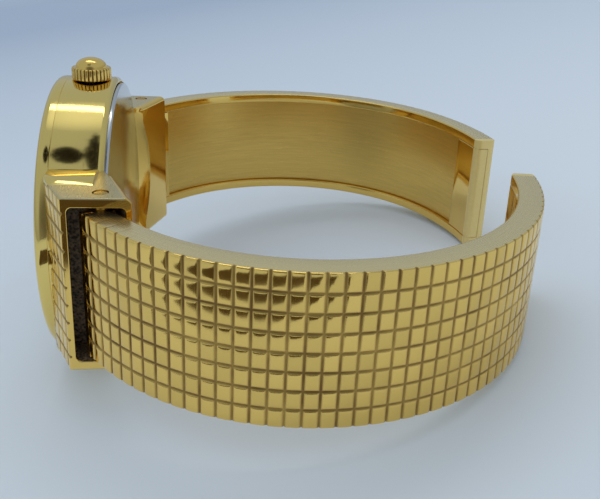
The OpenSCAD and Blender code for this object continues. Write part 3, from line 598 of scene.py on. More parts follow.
def make_materials():
    """Every finish of the watch, by its slot's name or by what it is for."""
    hairlines_effect()
    plating_effect()
    grain_effect()
    paint = colours()
    gold = list(paint.gold)
    case_gold = [c * f for c, f in zip(gold, (0.98, 1.07, 1.2))]
    return {
        "polished_gold": metal("gold_polished", gold, 0.07),
        "case_gold": metal("gold_case", case_gold, 0.06, wave=1.6, scratches=0.5),
        "patterned_gold": patterned_material("gold_squares", gold, list(paint.patina)),
        "satin_gold": brushed_material("gold_satin", (0.88, 0.70, 0.355), 0.27, 0.5),
        # The lugs' satin is a darker copy of the arms' satin gold: painted shade on the lug tops, which catch more
        # light from the case band
        "lug_satin_shaded": brushed_material("gold_lug_satin_shaded", (0.70, 0.57, 0.295), 0.3, 0.5),
        "end_satin": brushed_material("gold_end_satin", (0.82, 0.62, 0.24), 0.35, 0.5, metallic=0.4),
        "brushed_gold": brushed_material("gold_brushed", times(gold, 0.92), 0.33, 9, 1.3, drift=0.28),
        "pin_end": metal("gold_pin", times(gold, 0.62), 0.25, scratches=0.8),
        "steel": metal("steel_polished", list(paint.steel), 0.12, scratches=0.6),
        "glass": glass_material("crystal_glass"),
        "dial_white": dial_material("dial_lacquer", list(paint.dial), (0.05, 0.04, 0.035)),
        "brass_raw": dull_material("movement_brass", (0.75, 0.58, 0.28), 0.25, 2500, 4, metallic=1),
        "pocket_grime": dull_material(
            "pocket_grime", (0.36, 0.25, 0.15), 0.5, 4200, 60, metallic=0.6, drift=0.85
        ),
        "rubber": dull_material("gasket_rubber", (0.02, 0.02, 0.02), 0.6, 1800, 10),
        "nylon": dull_material("holder_plastic", (0.72, 0.72, 0.68), 0.45, 900, 6),
        "copper_wire": dull_material(
            "coil_copper", (0.72, 0.28, 0.12), 0.3, 4000, 10, metallic=1, coat=0.5
        ),
        "board": dull_material("circuit_board", (0.03, 0.16, 0.07), 0.3, 1200, 5, coat=0.6),
    }


# Meshes


def linked(name, data):
    """An object of the scene for a mesh, lamp or camera."""
    made = bpy.data.objects.new(name, data)
    bpy.context.scene.collection.objects.link(made)
    return made


def level_mesh(name, points, faces):
    """A mesh from level points in millimetres, with its faces turned outwards."""
    mesh = bpy.data.meshes.new(name)
    mesh.from_pydata([tuple(p) for p in placed(points)], [], [tuple(int(i) for i in f) for f in faces])
    shape = bmesh.new()
    shape.from_mesh(mesh)
    bmesh.ops.recalc_face_normals(shape, faces=shape.faces)
    shape.to_mesh(mesh)
    shape.free()
    return mesh


def make_piece(name, points, faces, body, finishes, replaced, kinds=None, values=None):
    """A piece from level points in millimetres, with its finishes and the body that it rides on."""
    mesh = level_mesh(name, points, faces)
    for label, data in (values or {}).items():
        data = np.asarray(data, float)
        kind, field = ("FLOAT_VECTOR", "vector") if data.ndim == 2 else ("FLOAT", "value")
        layer = mesh.attributes.new(label, kind, "POINT")
        layer.data.foreach_set(field, data.ravel())
    if kinds is not None:
        mesh.polygons.foreach_set("material_index", np.asarray(kinds, np.int32))
    for finish in finishes:
        mesh.materials.append(MATERIALS[finish])
    mesh.polygons.foreach_set("use_smooth", np.ones(len(mesh.polygons), bool))
    mesh.set_sharp_from_angle(angle=SHARP_ANGLE)
    mesh.update()
    piece = linked(name, mesh)
    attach(piece, body)
    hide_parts(*replaced)
    return piece


def even_angles(count):
    """Angles evenly round a circle."""
    return np.arange(count) * 2 * math.pi / count


def grid_faces(rings, columns):
    """Quads between neighbouring rings of points."""
    faces = []
    for i in range(rings - 1):
        for j in range(columns):
            k = (j + 1) % columns
            faces.append((i * columns + j, i * columns + k, (i + 1) * columns + k, (i + 1) * columns + j))
    return faces


def capped_faces(rings, columns):
    """Quads between neighbouring rings of points, and a cap on the first and the last one."""
    last = (rings - 1) * columns
    return grid_faces(rings, columns) + [tuple(range(columns)), tuple(range(last, last + columns))]


def round_profile(corners):
    """A profile from (x, y, radius) corners, each rounded with short straight steps."""
    points = []
    for i, (x, y, radius) in enumerate(corners):
        here = np.array([x, y], float)
        if radius <= 0:
            points.append(here)
            continue
        back = np.array(corners[i - 1][:2], float) - here
        on = np.array(corners[(i + 1) % len(corners)][:2], float) - here
        back /= np.linalg.norm(back)
        on /= np.linalg.norm(on)
        half = math.acos(max(-1.0, min(1.0, float(back @ on)))) / 2
        reach = radius / math.tan(half)
        middle = here + (back + on) / np.linalg.norm(back + on) * radius / math.sin(half)
        first = here + back * reach - middle
        last = here + on * reach - middle
        start = math.atan2(first[1], first[0])
        sweep = (math.atan2(last[1], last[0]) - start + math.pi) % (2 * math.pi) - math.pi
        steps = max(2, int(abs(sweep) / STEP_TURN))
        for k in range(steps + 1):
            a = start + sweep * k / steps
            points.append(middle + radius * np.array([math.cos(a), math.sin(a)]))
    return np.array(points)


def lathe(profile, place, segments=256):
    """Turns a closed profile of (radius, height) about an axis; place maps (a, b, height).

    A radius may also be a row of radii, one for each segment.
    """
    angles = even_angles(segments)
    rings = [place(r * np.cos(angles), r * np.sin(angles), np.full(segments, h)) for r, h in profile]
    faces = grid_faces(len(profile), segments)
    last = (len(profile) - 1) * segments
    faces += [(last + j, last + (j + 1) % segments, (j + 1) % segments, j) for j in range(segments)]
    return np.concatenate(rings), faces


# The arm's middle line


def leftward(heading):
    """The direction to the left of a heading."""
    return np.array([-math.sin(heading), math.cos(heading)])


def arm_line():
    """The arcs of an arm (centre, radius, heading at the start, length before it), and their length."""
    heading = math.radians(-ARM_ANGLE)
    start = np.array([-PIN_X, -PIN_Y]) - PIN_INSET * leftward(heading)
    arcs = []
    length = 0.0
    for radius, turn in zip(BENDS, TURNS):
        centre = start + radius * leftward(heading)
        arcs.append((centre, radius, heading, length))
        heading += math.radians(turn)
        start = centre - radius * leftward(heading)
        length += radius * math.radians(turn)
    return arcs, length


ARCS, ARM_LEN = arm_line()
TIP_STATIONS = [ARM_LEN - TIP_ROUND * (1 - math.sin(math.radians(a))) for a in TIP_ANGLES]


def on_arm(s, u, w):
    """Level points at the length s along the near arm, u out of the cuff and w along the pin."""
    s, u, w = np.broadcast_arrays(np.asarray(s, float), u, w)
    points = np.zeros(s.shape + (3,))
    for k, (centre, radius, heading, before) in enumerate(ARCS):
        after = ARCS[k + 1][3] if k + 1 < len(ARCS) else np.inf
        chosen = (s < after) & ((s >= before) | (k == 0))
        angle = heading + (s - before) / radius
        points[..., 0] = np.where(chosen, centre[0] + (radius + u) * np.sin(angle), points[..., 0])
        points[..., 1] = np.where(chosen, centre[1] - (radius + u) * np.cos(angle), points[..., 1])
    points[..., 2] = w
    return points


def groove_share(distance):
    """How deep a groove is at a distance from its middle, as a share of its depth."""
    at, share = zip(*GROOVE_SHAPE)
    return np.interp(np.abs(distance), at, share)


def pattern_stations(grooves, low, high, middles):
    """Where a face needs a line of points: its ends, the grooves' flanks, and shares of what is between."""
    wanted = {round(low, 4), round(high, 4)}
    for groove in grooves:
        for offset, _ in GROOVE_SHAPE:
            wanted.update((round(groove - offset, 4), round(groove + offset, 4)))
    edges = [low] + list(grooves) + [high]
    for a, b in zip(edges, edges[1:]):
        wanted.update(round(a + (b - a) * m, 4) for m in middles)
    kept = []
    for value in sorted(v for v in wanted if low <= v <= high):
        if not kept or value - kept[-1] > MERGE:
            kept.append(value)
    return kept


def section_normals(outline):
    """Outward directions at the points of a closed outline that runs anticlockwise."""
    ahead = np.roll(outline, -1, axis=0) - outline
    behind = outline - np.roll(outline, 1, axis=0)
    ahead /= np.linalg.norm(ahead, axis=1)[:, None]
    behind /= np.linalg.norm(behind, axis=1)[:, None]
    along = ahead + behind
    along /= np.linalg.norm(along, axis=1)[:, None]
    return np.stack([along[:, 1], -along[:, 0]], axis=1)


def end_inset(distance, radius):
    """How far a rounded end is drawn in at a distance from its face."""
    x = np.clip(1 - distance / radius, 0, 1)
    return radius * (1 - np.sqrt(1 - x * x))


def end_steps(radius):
    """Distances from its face at which a rounded end needs a ring of points."""
    return [radius * (1 - math.cos(math.radians(a))) for a in (0, 30, 60, 90)]


def round_end(s, u):
    """Draws the inner and outer faces of an arm together at its rounded free end."""
    half = ARM_T / 2 - end_inset(ARM_LEN - s, TIP_ROUND)
    return np.clip(u, -half, half)


def swept_points(outline, stations, start, end, radius, moved=None):
    """Places (along, out, across) of an outline swept along the arm, with both ends rounded.

    A narrow flat ring closes each end that the stations reach, so its cap shades flat. A function
    can move the places along the arm.
    """
    normals = section_normals(outline)
    insets = [max(end_inset(s - start, radius), end_inset(end - s, radius)) for s in stations]
    if stations[0] == start:
        stations, insets = [start] + stations, [radius + FLAT_RING] + insets
    stations, insets = stations + [end], insets + [radius + FLAT_RING]
    rows = []
    for s, inset in zip(stations, insets):
        shape = outline - normals * inset
        place = np.full(len(outline), s)
        if moved is not None:
            place = moved(place, shape[:, 0])
        rows.append(np.stack([place, shape[:, 0], shape[:, 1]], axis=1))
    return np.concatenate(rows)


# Arms


def side_words(far):
    """The first word in the names of a side's pieces, and the body of its arm."""
    return ("far", "far_arm") if far else ("near", "near_arm")


def channel_bar(far, label, solid, span, depth, radius, finish, end_finish=None):
    """A rounded bar in an arm's channel, from rim to rim: its lining or its end block."""
    word, body = side_words(far)
    (s0, s1), (u0, u1) = span, depth
    half = ARM_W / 2 - RIM_W - SEAT_GAP
    corner = radius + FLAT_RING + HAIR
    corners = ((u0, -half), (u1, -half), (u1, half), (u0, half))
    outline = round_profile([(u, w, corner) for u, w in corners])
    ends = end_steps(radius)[:-1]
    inner = list(np.linspace(s0 + radius, s1 - radius, max(3, int((s1 - s0) / BAR_STEP))))
    stations = [s0 + d for d in ends] + inner + [s1 - d for d in reversed(ends)]
    if s1 > ARM_LEN - TIP_ROUND:
        stations = [s for s in stations if s < s1 - TIP_ROUND] + TIP_STATIONS
    places = swept_points(outline, stations, s0, s1, radius)
    places[:, 1] = round_end(places[:, 0], places[:, 1])
    points = on_arm(*places.T)
    if far:
        points[:, 1] *= -1
    size = len(outline)
    faces = capped_faces(len(places) // size, size)
    finishes, kinds = [finish], [0] * len(faces)
    if end_finish:
        finishes.append(end_finish)
        rounded = size * len(TIP_STATIONS)
        kinds[-rounded - 2:-2] = [1] * rounded
        kinds[-1] = 1
    values = {"arm_at": places[:, [0, 2, 1]]}
    return make_piece(
        f"{word}_arm_{label}", points, faces, body, finishes, [f"{word}_{solid}"], kinds, values
    )


def build_lining(far):
    """The brushed strip set into the inside of an arm."""
    low = -ARM_T / 2 + LINER_RECESS
    span = (HINGE_LEN + SEAT_GAP, ARM_LEN - TIP_LEN - SEAT_GAP)
    return channel_bar(far, "lining", "arm_liner", span, (low, low + LINER_T), 0.05, "brushed_gold")


def build_tip(far):
    """The polished block that closes the free end of an arm."""
    span = (ARM_LEN - TIP_LEN, ARM_LEN)
    depth = (-ARM_T / 2, ARM_T / 2 - PLATE_T - SEAT_GAP)
    return channel_bar(far, "tip", "tip_block", span, depth, 0.07, "polished_gold", "end_satin")


def clear_of_knuckle(places, u):
    """Moves the first stations of a channel on, so that it clears the knuckle round the pin."""
    reach = KNUCKLE_R + KNUCKLE_GAP
    across = np.clip(reach * reach - (u + PIN_INSET) ** 2, 0, None)
    first = np.maximum(KNUCKLE_LEN, np.sqrt(across))
    share = np.clip((KNUCKLE_FADE - places) / (KNUCKLE_FADE - KNUCKLE_LEN), 0, 1)
    return places + share * (first - KNUCKLE_LEN) * (places < KNUCKLE_FADE)


def channel_outline():
    """The channel's section, anticlockwise, with the finish of the face that follows each point."""
    half_t, half_w = ARM_T / 2, ARM_W / 2
    inner_w = half_w - RIM_W
    plate_u = half_t - PLATE_T
    outer, back, inner = CHANNEL_ROUNDS["outer"], CHANNEL_ROUNDS["back"], CHANNEL_ROUNDS["inner"]
    grooves = [-half_w + j * ROW_PITCH for j in range(1, ROWS)]
    rows = pattern_stations(grooves, -half_w + outer, half_w - outer, (0.3, 0.5, 0.7))
    points, kinds = [], []

    def put(pairs, kind):
        points.extend(pairs)
        kinds.extend([kind] * len(pairs))

    def corner(u, w, radius, start, kind):
        angles = np.radians(np.linspace(start, start + 90, CORNER_POINTS))
        put([(u + radius * math.cos(a), w + radius * math.sin(a)) for a in angles], kind)

    put([(half_t, w) for w in rows[:-1]], PATTERNED)
    corner(half_t - outer, half_w - outer, outer, 0, PATTERNED)
    kinds[-1] = SATIN
    corner(-half_t + back, half_w - back, back, 90, POLISHED)
    corner(-half_t + inner, inner_w + inner, inner, 180, POLISHED)
    put([(plate_u, inner_w), (plate_u, -inner_w)], POLISHED)
    corner(-half_t + inner, -inner_w - inner, inner, 90, POLISHED)
    corner(-half_t + back, -half_w + back, back, 180, POLISHED)
    kinds[-1] = SATIN
    corner(half_t - outer, -half_w + outer, outer, 270, PATTERNED)
    return np.array(points[:-1]), kinds[:-1]


def square_relief(s, u, w, grooves, seed):
    """The form of the squares at a channel's places: groove share, shade, and rise in millimetres."""
    half_pitch, half_row = SQUARE_PITCH / 2, ROW_PITCH / 2
    across = groove_share((s - GROOVE_FROM + half_pitch) % SQUARE_PITCH - half_pitch)
    across = np.where((s < GROOVE_FROM - half_pitch) | (s > grooves[-1] + half_pitch), 0, across)
    along = groove_share((w + ARM_W / 2 + half_row) % ROW_PITCH - half_row)
    along = np.where(np.abs(w) > ARM_W / 2 - half_row, 0, along)
    face = u > ARM_T / 2 - FACE_REACH
    share = np.maximum(across, np.where(face, along * ROW_DEPTH, 0))
    share = np.where(u > ARM_T / 2 - FLANK_REACH, share, 0)
    a = ((s - GROOVE_FROM) / SQUARE_PITCH) % 1 * 2 - 1
    a = np.where(s > grooves[-1], (s - grooves[-1]) / (ARM_LEN - grooves[-1]) * 2 - 1, a)
    b = ((w + ARM_W / 2) / ROW_PITCH) % 1 * 2 - 1
    rng = np.random.default_rng(seed)
    tilts = rng.normal(0, TILT, (ARM_DRAWS, ROWS, 2))
    shades = rng.uniform(0, 1, (ARM_DRAWS, ROWS))
    cell = np.clip(np.floor((s - GROOVE_FROM) / SQUARE_PITCH).astype(int) + 1, 0, len(grooves))
    row = np.clip(np.floor((w + ARM_W / 2) / ROW_PITCH).astype(int), 0, ROWS - 1)
    tilt = tilts[cell, row]
    pillow = sizes().pillow / MM
    rise = pillow * ((1 - a * a) * (1 - b * b) - 1) + np.minimum(0, tilt[:, 0] * a + tilt[:, 1] * b)
    return share, shades[cell, row], np.where(face, rise * (1 - share), 0)


def build_channel(far):
    """The channel of an arm, with its squares cut between soft V grooves."""
    word, body = side_words(far)
    name = word + "_arm_channel"
    outline, kinds = channel_outline()
    margin = 0.1
    grooves = np.arange(GROOVE_FROM, ARM_LEN - TIP_ROUND - margin, SQUARE_PITCH)
    stations = pattern_stations(grooves, KNUCKLE_LEN, ARM_LEN, (0.5,))
    stations = [s for s in stations if s < ARM_LEN - TIP_ROUND - HAIR] + TIP_STATIONS
    stations.insert(1, KNUCKLE_LEN + margin)
    places = swept_points(outline, stations, KNUCKLE_LEN - 1, ARM_LEN, CHANNEL_END_ROUND, clear_of_knuckle)
    s, u, w = places.T
    share, tone, rise = square_relief(s, u, w, grooves, SEEDS[name])
    u = round_end(s, u - sizes().groove_depth / MM * share + rise)
    points = on_arm(s, u, w)
    if far:
        points[:, 1] *= -1
    size = len(outline)
    rings = len(places) // size
    rounded = size * len(TIP_STATIONS)
    face_kinds = (kinds * (rings - 1))[:-rounded] + [END] * rounded + [POLISHED, END]
    values = {"groove": share, "tone": tone, "arm_at": np.stack([s, w, u], axis=1)}
    finishes = ["patterned_gold", "satin_gold", "polished_gold", "end_satin"]
    return make_piece(
        name, points, capped_faces(rings, size), body, finishes, [word + "_arm_shell"],
        face_kinds, values,
    )


def build_pins():
    """The hinge pins, with softly rounded ends."""
    end, end_round = LUG_TOP - 0.05, 0.14
    profile = round_profile([
        (AXIS_R, -end, 0), (PIN_R, -end, end_round), (PIN_R, end, end_round), (AXIS_R, end, 0),
    ])
    for far in (False, True):
        word = side_words(far)[0]
        points, faces = lathe(profile, upright, 48)
        points = points + (-PIN_X, PIN_Y if far else -PIN_Y, 0)
        make_piece(
            word + "_pin", points, faces, "watch_head", ["pin_end"], [word + "_hinge_pin"]
        )


# Lugs


def lug_faces(y):
    """Where a lug's dial-side and wrist-side faces lie at the distance y from the middle."""
    dial = np.interp(y, (LUG_ROOT[1], LUG_Y), (-LUG_ROOT[0], -LUG_DIAL_X))
    wrist = np.interp(y, (LUG_HEEL[1], LUG_Y), (-LUG_HEEL[0], -LUG_WRIST_X))
    return dial, wrist


def clear_of_back(z):
    """How far from the middle a lug stays at the height z, to clear the case back."""
    return math.sqrt(max(0.0, LUG_CLEAR_R ** 2 - z * z))


def mouth_ring(y, spread):
    """The rounded outline of a lug's mouth at the distance y from the middle, made wider by a spread."""
    slope = (LUG_ROOT[0] - LUG_DIAL_X) / (LUG_Y - LUG_ROOT[1])
    wrist_slope = (LUG_HEEL[0] - LUG_WRIST_X) / (LUG_Y - LUG_HEEL[1])
    x0 = -LUG_DIAL_X + LUG_WALL * math.hypot(1, slope) - slope * (LUG_Y - y) - spread
    x1 = -LUG_WRIST_X - LUG_WRIST_WALL * math.hypot(1, wrist_slope) - wrist_slope * (LUG_Y - y) + spread
    low, high, top = x0 + MOUTH_ROUND, x1 - MOUTH_ROUND, MOUTH_H / 2 + spread - MOUTH_ROUND
    turns = [MOUTH_ROUND * math.cos(math.radians(a)) for a in MOUTH_ANGLES]
    pairs = list(zip(turns, turns[::-1]))
    ring = [(low - sine, -y, -top - cosine) for cosine, sine in pairs]
    ring += [(low - cosine, -y, top + sine) for cosine, sine in pairs]
    ring += [(high + sine, -y, top + cosine) for cosine, sine in pairs]
    ring += [(high + cosine, -y, -top - sine) for cosine, sine in pairs]
    return ring


def lug_outline(z_rows, wrist_rows, row_cuts, column_cut):
    """A lug's section, as (face, offset from it, height, groove share) for each point."""
    edge, turn = LUG_TOP - LUG_EDGE, LUG_TOP - LUG_ROUND
    top = []
    for a in np.radians(np.linspace(180, 90, EDGE_POINTS))[1:]:
        offset = LUG_EDGE + LUG_EDGE * math.cos(a)
        top.append(("dial", offset, edge + LUG_EDGE * math.sin(a), column_cut * EDGE_DEPTH))
    top.append(("middle", 0.0, LUG_TOP, 0.0))
    for a in np.radians(np.linspace(90, 0, ROUND_POINTS)):
        top.append(("wrist", -LUG_ROUND + LUG_ROUND * math.cos(a), turn + LUG_ROUND * math.sin(a), 0.0))
    bottom = [(face, offset, -z, cut) for face, offset, z, cut in top[-2::-1]]
    dial = [("dial", 0.0, z, max(column_cut, cut * ROW_DEPTH)) for z, cut in zip(z_rows, row_cuts)]
    wrist = [("wrist", 0.0, z, 0.0) for z in wrist_rows[1:]]
    return dial + top + wrist + bottom


def lug_ring(outline, c, inset, depth):
    """Level points of a lug's section at the length c along its dial side."""
    middle_x = -CASE_X - RIM_Z
    flat, ys = [], []
    for face, offset, z, _ in outline:
        if face == "dial":
            y = LUG_Y - LUG_SLOPE * min(c, LUG_RUN) - max(0.0, c - LUG_RUN)
        else:
            end = LUG_IN_Y if face == "middle" else max(LUG_HEEL[1], clear_of_back(z))
            y = LUG_Y - (LUG_Y - end) * c / LUG_LENGTH
        dial, wrist = lug_faces(y)
        flat.append(({"dial": dial, "middle": middle_x, "wrist": wrist}[face] + offset, z))
        ys.append(y)
    flat = np.array(flat)
    flat = flat - section_normals(flat[::-1])[::-1] * inset
    cuts = [cut * depth if face == "dial" else 0.0 for face, _, _, cut in outline]
    return [(x + cut, -y, z) for (x, z), y, cut in zip(flat, ys, cuts)]


def lug_front(first, size, top, bottom):
    """The points, faces and finishes of a lug's outer face, in four parts round its mouth and pocket.

    The first ring of the lug has the points 0 to size, and top and bottom are its middle ones.
    """
    rings = [mouth_ring(LUG_Y - depth, spread) for depth, spread in MOUTH_EDGE]
    rings.append(mouth_ring(CAVITY_Y, 0.0))
    points = [point for ring in rings for point in ring]
    around = len(rings[0])
    quarter = around // 4
    second, fourth = first + quarter, first + 3 * quarter
    faces = [
        list(range(0, top)) + [second, second - 1],
        [top - 1, top, top + 1] + list(range(fourth - 1, second - 1, -1)),
        list(range(top + 1, bottom)) + [fourth, fourth - 1],
        [bottom - 1] + list(range(bottom, size)) + [0] + list(range(second - 1, first - 1, -1))
        + list(range(first + around - 1, fourth - 1, -1)),
    ]
    faces += [[first + i for i in face] for face in grid_faces(len(rings), around)]
    faces.append([first + (len(rings) - 1) * around + j for j in range(around)])
    kinds = [POLISHED] * (4 + (len(rings) - 2) * around) + [GRIMY] * (around + 1)
    return points, faces, kinds


def lug_back(first, base, size, top, bottom, wrist_rows):
    """The points, faces and finishes of a lug's inner end: a wall round the case back, and a part inside.

    The last ring of the lug starts at the point base.
    """
    points = [(-CASE_X - RIM_Z, -max(LUG_TOE_Y, clear_of_back(z)), z) for z in wrist_rows]
    last = len(points) - 1
    high = base + top + ROUND_POINTS
    low = high + last
    faces = [[first + k, first + k + 1, high + k + 1, high + k] for k in range(last)]
    faces.append(list(range(base + top, high + 1)) + [first])
    faces.append([first + last] + list(range(low, base + bottom + 1)))
    inside = list(range(base, base + top + 1)) + list(range(first, first + last + 1))
    faces.append(inside + list(range(base + bottom, base + size)))
    return points, faces, [POLISHED] * len(faces)


def build_lug(far):
    """The hood over an arm's hinge, open at its outer face, with squares on its dial side."""
    word = side_words(far)[0]
    name = word + "_lug"
    depth = sizes().groove_depth / MM
    columns = np.arange(GROOVE_MARGIN, LUG_RUN - GROOVE_MARGIN, SQUARE_PITCH)
    stations = [c for c in pattern_stations(columns, 0.0, LUG_RUN, (0.5,)) if c > LUG_END_ROUND + HAIR]
    stations = [0.0] + end_steps(LUG_END_ROUND) + stations
    stations += [LUG_RUN + 0.15, LUG_RUN + LUG_FADE, LUG_LENGTH]
    row_places = np.arange(-ROWS // 2, ROWS // 2 + 1) * ROW_PITCH
    z_rows = pattern_stations(row_places, -LUG_TOP + LUG_EDGE, LUG_TOP - LUG_EDGE, (0.5,))
    wrist_rows = np.linspace(LUG_TOP - LUG_ROUND, -LUG_TOP + LUG_ROUND, WRIST_POINTS)
    shades = np.random.default_rng(SEEDS[name]).uniform(0, 1, LUG_DRAWS)
    points, groove, tones = [], [], []
    for k, c in enumerate(stations):
        inset = LUG_END_ROUND + FLAT_RING if k == 0 else float(end_inset(c, LUG_END_ROUND))
        fade = max(0.0, 1 - max(0.0, c - LUG_RUN) / LUG_FADE)
        column_cut = float(groove_share(np.min(np.abs(columns - c))))
        row_cuts = [float(groove_share(np.min(np.abs(row_places - z)))) * fade for z in z_rows]
        outline = lug_outline(z_rows, wrist_rows, row_cuts, column_cut)
        ring = lug_ring(outline, c, inset, depth)
        points.extend(ring)
        groove.extend(cut for _, _, _, cut in outline)
        rows = [int(np.clip(z / ROW_PITCH + LUG_DRAWS[1] / 2, 0, LUG_DRAWS[1] - 1)) for _, _, z in ring]
        tones.extend(shades[int(np.sum(columns < c)), row] for row in rows)
    size = len(outline)
    top, bottom = [i for i, point in enumerate(outline) if point[0] == "middle"]
    kinds = [PATTERNED] * size
    kinds[len(z_rows):top + 1] = [SATIN] * (top + 1 - len(z_rows))
    kinds[top + 1:bottom - 1] = [POLISHED] * (bottom - top - 2)
    kinds[bottom - 1:bottom + 1] = [SATIN] * 2
    last_ring = (len(stations) - 1) * size
    front, front_faces, front_kinds = lug_front(len(points), size, top, bottom)
    points += front
    back, back_faces, back_kinds = lug_back(len(points), last_ring, size, top, bottom, wrist_rows)
    points = np.array(points + back)
    faces = grid_faces(len(stations), size) + front_faces + back_faces
    face_kinds = kinds * (len(stations) - 1) + front_kinds + back_kinds
    groove += [0.0] * (len(points) - len(groove))
    tones += [0.5] * (len(points) - len(tones))
    if far:
        points[:, 1] *= -1
    values = {"groove": groove, "tone": tones, "arm_at": points[:, [1, 0, 2]]}
    # The lug tops take the darker copy of the satin gold, which is painted shade
    finishes = ["patterned_gold", "lug_satin_shaded", "polished_gold", "pocket_grime"]
    piece = make_piece(
        name, points, faces, "watch_head", finishes, ["case_body"], face_kinds, values
    )
    carve_pin_hole(piece, far)
    return piece


def carve_pin_hole(piece, far):
    """Drills the hinge pin's hole through a lug."""
    count, reach = 48, 10.0
    angles = even_angles(count)
    middle_y = PIN_Y if far else -PIN_Y
    ring = np.stack([-PIN_X + PIN_HOLE_R * np.cos(angles), middle_y + PIN_HOLE_R * np.sin(angles)], axis=1)
    points = np.concatenate([np.column_stack([ring, np.full(count, z)]) for z in (-reach, reach)])
    cutter = linked("pin_hole", level_mesh("pin_hole", points, capped_faces(2, count)))
    carve = piece.modifiers.new("pin_hole", "BOOLEAN")
    carve.operation = "DIFFERENCE"
    carve.solver = "EXACT"
    carve.object = cutter
    bpy.context.view_layer.update()
    held = piece.evaluated_get(bpy.context.evaluated_depsgraph_get())
    carved = bpy.data.meshes.new_from_object(held)
    piece.modifiers.clear()
    piece.data = carved
    carved.set_sharp_from_angle(angle=SHARP_ANGLE)
    bpy.data.objects.remove(cutter)


# Head


def build_case_band():
    """The middle case, turned with a soft chamfer at its back edge."""
    seat_r = BACK_R + 0.15
    chamfer = 0.35
    profile = round_profile([
        (BORE_R, SEAT_H, 0), (seat_r, SEAT_H, 0), (seat_r, RIM_Z, 0.05), (CASE_R - chamfer, RIM_Z, 0.15),
        (CASE_R, RIM_Z + chamfer, 0.3), (CASE_R, BEZEL_Z, 0.02), (BORE_R, BEZEL_Z, 0),
    ])
    points, faces = lathe(profile, head_level)
    return make_piece(
        "case_band", points, faces, "watch_head", ["case_gold"], ["case_body"]
    )


def build_bolsters():
    """The polished swells between the case and the lugs."""
    rise, y0, y1, bevel_most = 0.4, 11.3, 15.5, 0.1
    half = (y1 - y0) / 2
    low, x1 = LUG_TOP - 0.3, -CASE_X - RIM_Z - 0.35
    steps = 33
    points, faces = [], []
    for far, top in ((False, False), (False, True), (True, False), (True, True)):
        first = len(points)
        for k in range(steps):
            y = y0 + half * (1 - math.cos(math.pi * k / (steps - 1)))
            lift = rise * (1 - abs(y / half - y0 / half - 1) ** 3)
            bevel = min(bevel_most, lift * 0.6)
            x0, high = lug_faces(y)[0], LUG_TOP + lift
            soft = bevel * 0.3
            shape = [(x0, low), (x0, high - bevel), (x0 + soft, high - soft), (x0 + bevel, high)]
            shape += [(x1 - bevel, high), (x1 - soft, high - soft), (x1, high - bevel), (x1, low)]
            for x, z in shape:
                points.append((x, y if far else -y, z if top else -z))
        faces += [tuple(first + i for i in face) for face in capped_faces(steps, len(shape))]
    return make_piece(
        "bolsters", points, faces, "watch_head", ["case_gold"], ["case_body"]
    )


def build_bezel():
    """The bezel, rounded at its front edge, with the ledge that holds the crystal."""
    spigot_r, spigot_z = BORE_R - SEAT_GAP, BEZEL_Z - LIP_H
    ledge_r, ledge_z = BEZEL_IN_R - LEDGE_W, BEZEL_Z + LEDGE_H
    lip_r, lip_z = BORE_R - LIP_T, BEZEL_Z - SEAT_GAP
    profile = round_profile([
        (spigot_r, spigot_z, 0), (spigot_r, BEZEL_Z, 0), (CASE_R - 0.03, BEZEL_Z, 0.01),
        (CASE_R, BEZEL_Z + 0.03, 0.02), (CASE_R, FRONT_Z, BEZEL_ROUND), (BEZEL_IN_R + 0.3, FRONT_Z, 0.25),
        (BEZEL_IN_R, FRONT_Z - 0.3, 0.1), (BEZEL_IN_R, ledge_z, 0), (ledge_r, ledge_z, 0),
        (ledge_r, lip_z, 0), (lip_r, lip_z, 0), (lip_r, spigot_z, 0),
    ])
    points, faces = lathe(profile, head_level)
    return make_piece("bezel_ring", points, faces, "watch_head", ["case_gold"], ["bezel"])


def build_case_back():
    """The snap-on steel back with its rounded rim."""
    top = SEAT_H - SEAT_GAP
    lip_top, lip_out, lip_in, floor = SEAT_H + 0.5, 12.25, 11.45, 0.5
    profile = round_profile([
        (AXIS_R, 0.0, 0), (BACK_R, 0.0, 0.18), (BACK_R, top, 0.05), (lip_out, top, 0),
        (lip_out, lip_top, 0.05), (lip_in, lip_top, 0.05), (lip_in, floor, 0), (AXIS_R, floor, 0),
    ])
    points, faces = lathe(profile, head_level)
    return make_piece("back_cover", points, faces, "watch_head", ["steel"], ["case_back"])


def build_dial():
    """The dial, with the printed minute track in its finish."""
    hole, segments = 0.85, 128
    profile = [(hole, DIAL_BASE), (DIAL_R, DIAL_BASE)]
    profile += [(radius, DIAL_TOP) for radius in (DIAL_R, 9.0, 5.0, hole)]
    points, faces = lathe(profile, head_level, segments)
    angles = even_angles(segments)
    spots = [np.stack([r * np.cos(angles), r * np.sin(angles), 0 * angles], 1) for r, _ in profile]
    return make_piece(
        "dial_plate", points, faces, "watch_head", ["dial_white"], ["dial"],
        values={"face_at": np.concatenate(spots)},
    )


